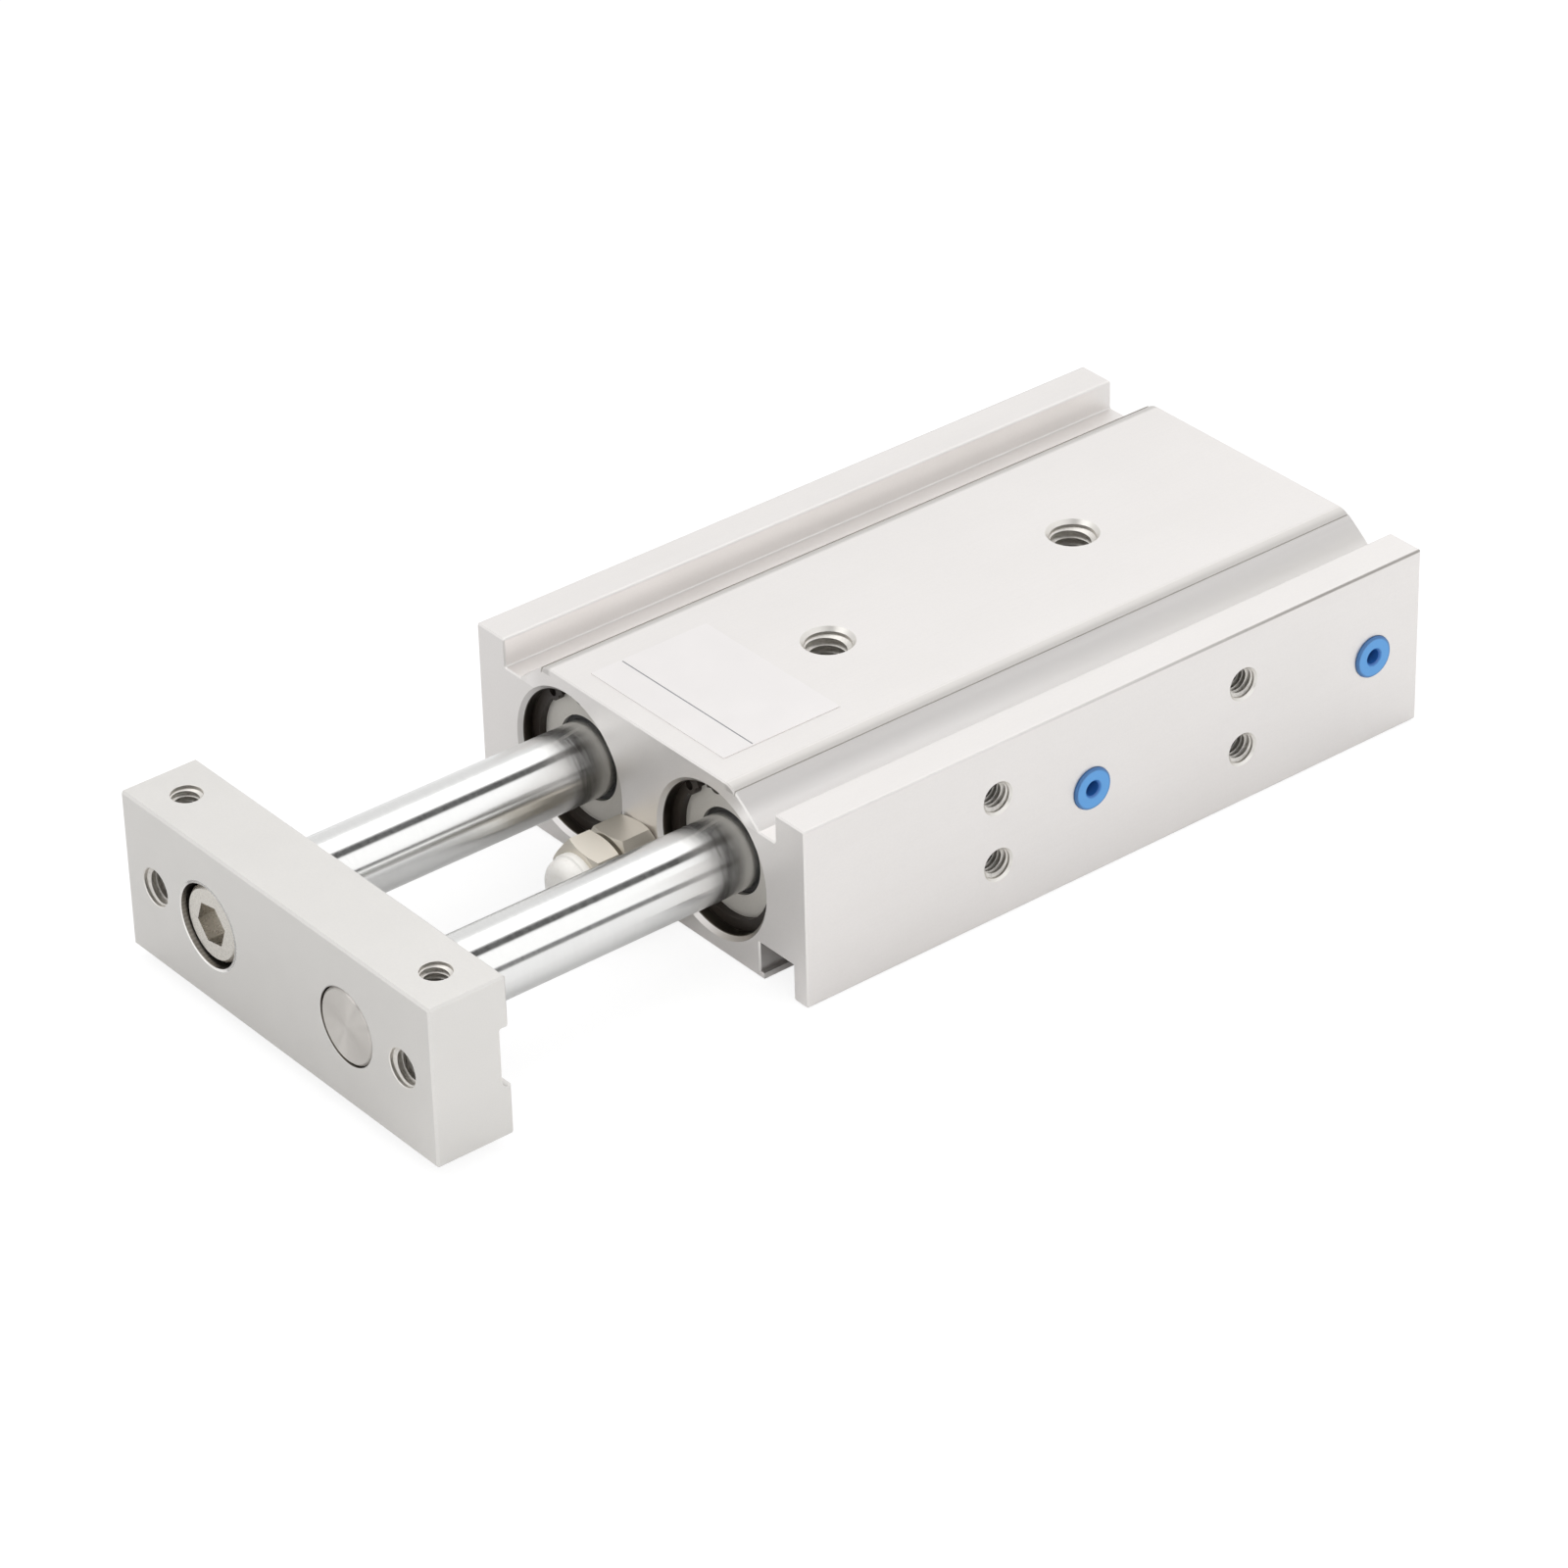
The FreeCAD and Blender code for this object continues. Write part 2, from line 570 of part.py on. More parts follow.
def piston():
    """Piston head with one groove for the magnet ring and one for the seal."""
    outer = BORE_R - PISTON_FIT
    magnet_x, seal_x = piston_grooves()
    magnet_floor = outer - MAGNET_DEPTH
    seal_floor = outer - SEAL_GROOVE_DEPTH
    return turned([
        (PISTON_REAR_X, SPIGOT_R + SEATED_FIT), (PISTON_REAR_X, outer),
        (magnet_x, outer), (magnet_x, magnet_floor),
        (magnet_x + MAGNET_WIDTH, magnet_floor), (magnet_x + MAGNET_WIDTH, outer),
        (seal_x, outer), (seal_x, seal_floor),
        (seal_x + SEAL_GROOVE_WIDTH, seal_floor), (seal_x + SEAL_GROOVE_WIDTH, outer),
        (PISTON_FRONT_X, outer), (PISTON_FRONT_X, SPIGOT_R + SEATED_FIT),
    ])


def magnet():
    """Sensing magnet ring, a little under the piston's surface."""
    outer = BORE_R - PISTON_FIT
    x0, _ = piston_grooves()
    return sleeve(x0, x0 + MAGNET_WIDTH, outer - MAGNET_INSET, outer - MAGNET_DEPTH)


def piston_seal():
    """Double-lip piston seal."""
    floor = BORE_R - PISTON_FIT - SEAL_GROOVE_DEPTH
    lip = BORE_R - ROD_FIT
    _, x0 = piston_grooves()
    x1 = x0 + SEAL_GROOVE_WIDTH
    return turned([
        (x0, floor), (x0, lip), (x0 + PISTON_LIP_LAND, lip), ((x0 + x1) / 2, lip - PISTON_LIP_VALLEY),
        (x1 - PISTON_LIP_LAND, lip), (x1, lip), (x1, floor),
    ])


def piston_rod(front_x, tap_depth):
    """Chromed rod with a spigot for the piston; the front end is tapped if tap_depth is given."""
    chamfer = ROD_END_CHAMFER
    bar = turned([
        (PISTON_REAR_X, 0), (PISTON_REAR_X, SPIGOT_R), (PISTON_FRONT_X, SPIGOT_R), (PISTON_FRONT_X, ROD_R),
        (front_x - chamfer, ROD_R), (front_x, ROD_R - chamfer), (front_x, 0),
    ])
    if tap_depth:
        bar = bar.cut(aimed(tapped_hole(M6, tap_depth, chamfer), (front_x, 0, 0), (-1, 0, 0)))
    return bar


def adjusting_bolt():
    """Hexagon bolt screwed into the housing between the rods, its head turned to the plate."""
    shank = rod(FRONT_X - BOLT_ENGAGEMENT, HEAD_BACK_X, M6 / 2 - THREAD_FIT)
    head = chamfered_hexagon(HEAD_BACK_X, HEAD_FRONT_X, HEAD_TURN)
    pocket = rod(HEAD_FRONT_X - CAP_STEM_LENGTH - SEATED_FIT, HEAD_FRONT_X + OVERRUN,
                 CAP_STEM_DIAMETER / 2 + SEATED_FIT)
    return moved(shank.fuse(head).cut(pocket).removeSplitter(), z=BOLT_Z)


def lock_nut():
    """Hexagon nut that locks the adjusting bolt against the housing."""
    blank = chamfered_hexagon(FRONT_X, NUT_FRONT_X, NUT_TURN)
    hole = aimed(through_hole(M6, NUT_THICKNESS, HEX_CHAMFER), (FRONT_X, 0, 0), (1, 0, 0))
    return moved(blank.cut(hole), z=BOLT_Z)


def bolt_bumper():
    """Domed resin cap on the bolt head that stops the plate, with a stem into the head."""
    radius = CAP_DIAMETER / 2
    stem = CAP_STEM_DIAMETER / 2
    collar_x = HEAD_FRONT_X + CAP_COLLAR
    neck = radius - CAP_NECK_DEPTH
    dome_x = CAP_TIP_X - CAP_TIP_ROUND
    tip_r = radius - CAP_TIP_ROUND - CAP_TIP_STEP
    places = [
        (HEAD_FRONT_X - CAP_STEM_LENGTH, 0), (HEAD_FRONT_X - CAP_STEM_LENGTH, stem),
        (HEAD_FRONT_X, stem), (HEAD_FRONT_X, radius), (collar_x - CAP_COLLAR_CHAMFER, radius),
        (collar_x, neck), (dome_x, neck),
    ]
    outline = [Vector(x, distance, 0) for x, distance in places]
    quarter = math.sqrt(0.5)
    middle = Vector(dome_x + CAP_TIP_ROUND * quarter, tip_r + (neck - tip_r) * quarter, 0)
    tip = Vector(CAP_TIP_X, tip_r, 0)
    tip_centre = Vector(CAP_TIP_X, 0, 0)
    edges = [Part.makeLine(start, end) for start, end in zip(outline, outline[1:])]
    edges.append(Part.Arc(outline[-1], middle, tip).toShape())
    edges.append(Part.makeLine(tip, tip_centre))
    edges.append(Part.makeLine(tip_centre, outline[0]))
    cap = Part.Face(Part.Wire(edges)).revolve(Vector(0, 0, 0), Vector(1, 0, 0), 360)
    return moved(cap, z=BOLT_Z)


def channel_cutter():
    """Cutter for the shallow channel across the back of the end plate."""
    z0 = AXIS_Z - CHANNEL_HEIGHT / 2
    z1 = AXIS_Z + CHANNEL_HEIGHT / 2
    x0 = PLATE_BACK_X
    x1 = PLATE_BACK_X + CHANNEL_DEPTH
    low = CHANNEL_BOTTOM_ROUND
    top = CHANNEL_TOP_ROUND
    turn = math.sqrt(0.5)
    edges = [
        Part.makeLine(Vector(x0 - OVERRUN, 0, z0), Vector(x1 - low, 0, z0)),
        Part.Arc(Vector(x1 - low, 0, z0), Vector(x1 - low + low * turn, 0, z0 + low - low * turn),
                 Vector(x1, 0, z0 + low)).toShape(),
        Part.makeLine(Vector(x1, 0, z0 + low), Vector(x1, 0, z1 - top)),
        Part.Arc(Vector(x1, 0, z1 - top), Vector(x1 - top + top * turn, 0, z1 - top + top * turn),
                 Vector(x1 - top, 0, z1)).toShape(),
        Part.makeLine(Vector(x1 - top, 0, z1), Vector(x0 - OVERRUN, 0, z1)),
        Part.makeLine(Vector(x0 - OVERRUN, 0, z1), Vector(x0 - OVERRUN, 0, z0)),
    ]
    face = Part.Face(Part.Wire(edges))
    width = 2 * (PLATE_HALF_WIDTH + OVERRUN)
    return moved(face.extrude(Vector(0, width, 0)), y=-width / 2)


def end_plate():
    """Front plate that joins the rods: pocket and counterbore left, through bore right."""
    block = Part.makeBox(PLATE_THICKNESS, 2 * PLATE_HALF_WIDTH, PLATE_TOP_Z - PLATE_BOTTOM_Z,
                         Vector(PLATE_BACK_X, -PLATE_HALF_WIDTH, PLATE_BOTTOM_Z))
    block = block.makeChamfer(PLATE_EDGE_CHAMFER, block.Edges)
    head_r = SCREW_HEAD_DIAMETER / 2 + SCREW_HEAD_GAP
    seat_x = PLATE_FRONT_X - SCREW_HEAD_HEIGHT - SCREW_HEAD_SINK
    pocket_x = PLATE_BACK_X + ROD_POCKET_DEPTH
    rod_hole = ROD_R + PLATE_ROD_GAP
    screw_hole = M6 / 2 + SCREW_CLEARANCE
    start = PLATE_BACK_X - OVERRUN
    end = PLATE_FRONT_X + OVERRUN
    screw_side = turned([
        (start, 0), (start, rod_hole), (pocket_x, rod_hole), (pocket_x, screw_hole),
        (seat_x, screw_hole), (seat_x, head_r), (end, head_r), (end, 0),
    ])
    clamp_side = rod(start, end, rod_hole)
    cutters = [
        channel_cutter(),
        moved(screw_side, y=-ROD_PITCH / 2, z=AXIS_Z),
        moved(clamp_side, y=ROD_PITCH / 2, z=AXIS_Z),
    ]
    set_screw_hole = rod(-OVERRUN, AXIS_Z - PLATE_BOTTOM_Z, M5 / 2)
    cutters.append(aimed(set_screw_hole, (PLATE_MID_X, ROD_PITCH / 2, PLATE_BOTTOM_Z), (0, 0, 1)))
    front_hole = through_hole(M5, PLATE_THICKNESS, PLATE_FRONT_CHAMFER)
    top_hole = tapped_hole(M4, PLATE_TOP_THREAD_DEPTH, PLATE_TOP_CHAMFER)
    for y in (-PLATE_HOLE_PITCH / 2, PLATE_HOLE_PITCH / 2):
        cutters.append(aimed(front_hole, (PLATE_FRONT_X, y, AXIS_Z), (-1, 0, 0)))
        cutters.append(aimed(top_hole, (PLATE_MID_X, y, PLATE_TOP_Z), (0, 0, -1)))
    return block.cut(cutters)


def plate_screw():
    """Socket-head cap screw that clamps the plate to the left rod's end."""
    top = PLATE_FRONT_X - SCREW_HEAD_SINK
    seat = top - SCREW_HEAD_HEIGHT
    head_r = SCREW_HEAD_DIAMETER / 2
    tip = PLATE_BACK_X + ROD_POCKET_DEPTH - SCREW_ENGAGEMENT
    shank_r = M6 / 2 - THREAD_FIT
    body = turned([
        (tip, 0), (tip, shank_r - THREAD_END_CHAMFER), (tip + THREAD_END_CHAMFER, shank_r),
        (seat, shank_r), (seat, head_r),
        (top - SCREW_HEAD_CHAMFER, head_r), (top, head_r - SCREW_HEAD_CHAMFER), (top, 0),
    ])
    socket = hexagon(top - SCREW_SOCKET_DEPTH, top + OVERRUN, SCREW_SOCKET, SCREW_TURN)
    return moved(body.cut(socket), y=-ROD_PITCH / 2, z=AXIS_Z)


def set_screw():
    """Grub screw from below that pins the right rod in the plate."""
    length = AXIS_Z - ROD_R - THREAD_FIT - PLATE_BOTTOM_Z - SET_SCREW_SINK
    radius = M5 / 2 - THREAD_FIT
    body = turned([
        (0, 0), (0, radius), (length - THREAD_END_CHAMFER, radius),
        (length, radius - THREAD_END_CHAMFER), (length, 0),
    ])
    socket = hexagon(-OVERRUN, SET_SCREW_SOCKET_DEPTH, SET_SCREW_SOCKET)
    foot = (PLATE_MID_X, ROD_PITCH / 2, PLATE_BOTTOM_Z + SET_SCREW_SINK)
    return aimed(body.cut(socket), foot, (0, 0, 1))


def port_plug(x):
    """Push-in plug of a port, with a low head that fills the chamfer and a small centre hole."""
    head_r = M5 / 2 + PLUG_RIM
    stem_r = M5 / 2 - THREAD_FIT
    hole_r = PLUG_HOLE_DIAMETER / 2
    top = -PLUG_STAND_OUT
    end = PLUG_STEM_LENGTH
    plug = turned([
        (top, hole_r + PLUG_HOLE_FLARE), (top, head_r - PLUG_EDGE_CHAMFER),
        (top + PLUG_EDGE_CHAMFER, head_r), (0, head_r), (PLUG_RIM + THREAD_FIT, stem_r),
        (end - PLUG_STEM_CHAMFER, stem_r), (end, stem_r - PLUG_STEM_CHAMFER), (end, 0),
        (PLUG_HOLE_DEPTH, 0), (PLUG_HOLE_DEPTH, hole_r), (top + PLUG_HOLE_FLARE, hole_r),
    ])
    return aimed(plug, (x, HALF_WIDTH, AXIS_Z), (0, -1, 0))


def label():
    """Thin blank film label on the top of the housing, near the front."""
    corner = Vector(FRONT_X - LABEL_SETBACK - LABEL_LENGTH, -LABEL_WIDTH / 2, HOUSING_HEIGHT)
    return Part.makeBox(LABEL_LENGTH, LABEL_WIDTH, LABEL_THICKNESS, corner)


def parts():
    """Every piece of the cylinder by node name."""
    nodes = {"housing": housing()}
    paired = {
        "seal_retainer": seal_retainer(),
        "rod_seal": rod_seal(),
        "rod_cover": rod_cover(),
        "rod_cover_o_ring": o_ring(COVER_X - COVER_GROOVE_SETBACK - O_RING_GROOVE_WIDTH / 2),
        "head_cover": head_cover(),
        "head_cover_o_ring": o_ring((HEAD_REAR_X + HEAD_FLANGE_X) / 2),
        "rear_bumper": rear_bumper(),
        "front_bumper": front_bumper(),
        "piston": piston(),
        "piston_magnet": magnet(),
        "piston_seal": piston_seal(),
    }
    for name, shape in paired.items():
        for side, copy in at_bores(shape).items():
            nodes[f"{name}_{side}"] = copy
    for side in SIDES:
        front = retaining_ring(RETAINER_X, FRONT_RING_TURN[side])
        rear = retaining_ring(REAR_X + REAR_RING_INSET, REAR_RING_TURN[side])
        nodes[f"front_retaining_ring_{side}"] = at_bores(front)[side]
        nodes[f"rear_retaining_ring_{side}"] = at_bores(rear)[side]
    left_end = PLATE_BACK_X + ROD_POCKET_DEPTH
    nodes["piston_rod_left"] = at_bores(piston_rod(left_end, ROD_TAP_DEPTH))["left"]
    nodes["piston_rod_right"] = at_bores(piston_rod(PLATE_FRONT_X, 0))["right"]
    nodes["adjusting_bolt"] = adjusting_bolt()
    nodes["lock_nut"] = lock_nut()
    nodes["bolt_bumper"] = bolt_bumper()
    nodes["end_plate"] = end_plate()
    nodes["plate_screw"] = plate_screw()
    nodes["plate_set_screw"] = set_screw()
    nodes["front_port_plug"] = port_plug(FRONT_PORT_X)
    nodes["rear_port_plug"] = port_plug(REAR_PORT_X)
    nodes["blank_label"] = label()
    return nodes


os.makedirs("parts", exist_ok=True)
for node, solid in parts().items():
    solid.exportStep(f"parts/{node}.step")
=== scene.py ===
"""Looks of a guided pneumatic cylinder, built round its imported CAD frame.

The CAD nodes keep their shape and get procedural finishes. New pieces are the thread ridges
in the tapped holes. Lengths are in metres unless a name ends in _mm.
"""

import json
import logging
import math
from abc import ABC, abstractmethod
from dataclasses import dataclass, field
from enum import Enum

import bpy
import numpy as np
from mathutils import Matrix, Vector

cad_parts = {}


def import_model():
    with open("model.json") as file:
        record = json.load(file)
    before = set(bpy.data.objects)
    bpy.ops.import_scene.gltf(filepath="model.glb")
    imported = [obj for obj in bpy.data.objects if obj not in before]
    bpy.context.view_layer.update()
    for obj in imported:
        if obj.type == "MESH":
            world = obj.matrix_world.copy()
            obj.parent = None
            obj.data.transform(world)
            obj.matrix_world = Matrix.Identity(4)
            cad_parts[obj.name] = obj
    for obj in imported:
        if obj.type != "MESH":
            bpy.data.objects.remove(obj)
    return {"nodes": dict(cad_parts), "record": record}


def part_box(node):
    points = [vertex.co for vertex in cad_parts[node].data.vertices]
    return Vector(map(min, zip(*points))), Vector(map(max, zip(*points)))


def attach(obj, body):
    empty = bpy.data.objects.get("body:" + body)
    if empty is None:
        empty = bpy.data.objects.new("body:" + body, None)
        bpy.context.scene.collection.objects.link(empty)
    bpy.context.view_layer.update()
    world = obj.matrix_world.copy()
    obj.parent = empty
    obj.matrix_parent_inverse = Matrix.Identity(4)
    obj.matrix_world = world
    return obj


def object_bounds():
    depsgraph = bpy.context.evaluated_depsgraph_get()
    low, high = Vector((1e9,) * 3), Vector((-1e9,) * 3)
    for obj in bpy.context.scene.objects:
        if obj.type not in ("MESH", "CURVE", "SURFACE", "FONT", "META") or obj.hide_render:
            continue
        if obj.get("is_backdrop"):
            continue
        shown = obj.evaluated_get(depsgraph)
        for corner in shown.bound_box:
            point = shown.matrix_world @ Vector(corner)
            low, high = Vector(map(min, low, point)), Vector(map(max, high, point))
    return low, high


LOG = logging.getLogger("guided_cylinder")
MM = 0.001
HOUSING_BODY = "housing_body"
ROD_BODY = "rod_body"
SIDES = ("left", "right")
QUARTER_TURN = 0.25
NOISE_LOW = 0.3  # fractal noise mostly lies between these two
NOISE_HIGH = 0.7
Socket = bpy.types.NodeSocket
Value = Socket | float | tuple[float, float, float, float]
Triple = tuple[float, float, float]


class Axis(Enum):
    """Directions that tapped holes face."""

    FORWARD = (1.0, 0.0, 0.0)
    RIGHT = (0.0, 1.0, 0.0)
    LEFT = (0.0, -1.0, 0.0)
    UP = (0.0, 0.0, 1.0)


# Materials


def linear(code: str) -> tuple[float, float, float, float]:
    """Turn an sRGB hex colour into linear light, with an alpha of 1.

    Args:
        code: Six hex digits after a hash.

    Returns:
        Linear red, green and blue, and 1.
    """
    shares = [int(code[start:start + 2], 16) / 255 for start in (1, 3, 5)]
    red, green, blue = (
        share / 12.92 if share <= 0.04045 else ((share + 0.055) / 1.055) ** 2.4 for share in shares
    )
    return red, green, blue, 1.0


def add_node(
    tree: bpy.types.NodeTree, kind: str, inputs: dict | None = None, **settings: object
) -> bpy.types.Node:
    """Add a node with its settings, its socket values and its links.

    Args:
        tree: Node tree that gets the node.
        kind: Blender's name of the node type.
        inputs: Socket name or number to a value, or to the output socket that feeds it.
        **settings: Properties of the node itself.

    Returns:
        The new node.
    """
    node = tree.nodes.new(kind)
    for name, value in settings.items():
        setattr(node, name, value)
    for socket, value in (inputs or {}).items():
        if isinstance(value, Socket):
            tree.links.new(value, node.inputs[socket])
        else:
            node.inputs[socket].default_value = value
    return node


@dataclass(frozen=True)
class Grain:
    """A noise pattern with real sizes.

    The height is fractal noise of the Object coordinates, each divided by the grain's size
    along that axis, so a large size along X draws streaks along X. tone is the share of the
    dark colour in its low spots, gloss how far the roughness swings either way.
    """

    size_mm: Triple
    depth_mm: float = 0.0
    detail: float = 3.0
    tone: float = 0.0
    gloss: float = 0.0

    def height(self, tree: bpy.types.NodeTree) -> Socket:
        """Add the noise to a tree.

        Args:
            tree: Node tree of the material.

        Returns:
            The noise's value, about 0.5 on average.
        """
        place = add_node(tree, "ShaderNodeTexCoord")
        mapping = add_node(tree, "ShaderNodeMapping", {
            "Vector": place.outputs["Object"],
            "Scale": tuple(1 / (size * MM) for size in self.size_mm),
        })
        noise = add_node(tree, "ShaderNodeTexNoise", {
            "Vector": mapping.outputs["Vector"], "Scale": 1.0, "Detail": self.detail,
        })
        return noise.outputs["Fac"]


@dataclass(frozen=True)
class Region:
    """Round or flat regions of the frame, mirrored about a centre.

    A point lies inside where (|point - centre| - offset), kept to the directions across, is
    shorter than the radius. Two directions make holes, one makes a slab.
    """

    across: Triple
    centre_mm: Triple
    offset_mm: Triple
    radius_mm: float
    soft_mm: float = 0.02

    def reach(self, tree: bpy.types.NodeTree) -> Socket:
        """Measure how far a point is from the nearest mirrored centre.

        Args:
            tree: Node tree of the material.

        Returns:
            The distance in metres.
        """
        place = add_node(tree, "ShaderNodeTexCoord").outputs["Object"]
        steps = (
            ("SUBTRACT", tuple(value * MM for value in self.centre_mm)),
            ("ABSOLUTE", None),
            ("SUBTRACT", tuple(value * MM for value in self.offset_mm)),
            ("MULTIPLY", self.across),
        )
        for operation, operand in steps:
            inputs = {0: place} if operand is None else {0: place, 1: operand}
            place = add_node(tree, "ShaderNodeVectorMath", inputs, operation=operation).outputs[0]
        length = add_node(tree, "ShaderNodeVectorMath", {0: place}, operation="LENGTH")
        return length.outputs["Value"]

    def mask(self, tree: bpy.types.NodeTree) -> Socket:
        """Mark the region, with a soft border.

        Args:
            tree: Node tree of the material.

        Returns:
            1 inside and 0 outside.
        """
        border = add_node(tree, "ShaderNodeMapRange", {
            "Value": self.reach(tree),
            "From Min": (self.radius_mm - self.soft_mm) * MM,
            "From Max": (self.radius_mm + self.soft_mm) * MM,
            "To Min": 1.0, "To Max": 0.0,
        })
        return border.outputs["Result"]


@dataclass(frozen=True)
class Zone:
    """A part of a surface with its own colour and gloss, where all its regions meet.

    A rim breaks the edge round the first region, drawn as a slope of that width.
    """

    regions: tuple[Region, ...]
    colour: str
    roughness: float
    rim_mm: float = 0.0

    def mask(self, tree: bpy.types.NodeTree) -> Socket:
        """Multiply the regions' masks.

        Args:
            tree: Node tree of the material.

        Returns:
            1 where all the regions meet, 0 elsewhere.
        """
        product = self.regions[0].mask(tree)
        for region in self.regions[1:]:
            both = {0: product, 1: region.mask(tree)}
            product = add_node(tree, "ShaderNodeMath", both, operation="MULTIPLY").outputs[0]
        return product

    def rim(self, tree: bpy.types.NodeTree) -> Socket:
        """Slope the surface down towards the first region's border.

        Args:
            tree: Node tree of the material.

        Returns:
            Height of the broken edge: 0 outside it, and down by its width at the border.
        """
        inner = self.regions[0].radius_mm * MM
        slope = add_node(tree, "ShaderNodeMapRange", {
            "Value": self.regions[0].reach(tree),
            "From Min": inner, "From Max": inner + self.rim_mm * MM,
            "To Min": -self.rim_mm * MM, "To Max": 0.0,
        })
        return slope.outputs["Result"]


@dataclass(frozen=True)
class Wear:
    """Edges that handling has rubbed: where the surface turns within a small radius.

    The turn is the cosine between the rounded normal and the true one. Wear starts at
    none_at, is full at full_at, and patches break it up.
    """

    width_mm: float
    colour: str
    share: float
    none_at: float = 0.99
    full_at: float = 0.85
    patches: Grain = Grain((2.0, 2.0, 2.0), detail=4.0)
    samples: int = 4

    def mask(self, tree: bpy.types.NodeTree) -> Socket:
        """Find the rubbed edges.

        Args:
            tree: Node tree of the material.

        Returns:
            Up to the wear's share on an edge, 0 away from it.
        """
        rounded = add_node(
            tree, "ShaderNodeBevel", {"Radius": self.width_mm * MM}, samples=self.samples
        )
        surface = add_node(tree, "ShaderNodeNewGeometry")
        normals = {0: rounded.outputs["Normal"], 1: surface.outputs["Normal"]}
        alike = add_node(tree, "ShaderNodeVectorMath", normals, operation="DOT_PRODUCT")
        turned = add_node(tree, "ShaderNodeMapRange", {
            "Value": alike.outputs["Value"],
            "From Min": self.none_at, "From Max": self.full_at,
            "To Min": 0.0, "To Max": self.share,
        })
        both = {0: turned.outputs["Result"], 1: self.patches.height(tree)}
        return add_node(tree, "ShaderNodeMath", both, operation="MULTIPLY").outputs[0]


@dataclass(frozen=True)
class Finish(ABC):
    """A surface finish: a name, a colour and its grains."""

    name: str

    def material(self) -> bpy.types.Material:
        """Find this finish's material, or make it on first use.

        Returns:
            The Blender material of that name.
        """
        known = bpy.data.materials.get(self.name)
        if known:
            return known
        made = bpy.data.materials.new(self.name)
        made.use_nodes = True
        tree = made.node_tree
        tree.nodes.clear()
        shader = self.shader(tree)
        add_node(tree, "ShaderNodeOutputMaterial", {"Surface": shader.outputs[0]})
        return made

    @abstractmethod
    def shader(self, tree: bpy.types.NodeTree) -> bpy.types.Node:
        """Add this finish's shader nodes and return the last of them."""


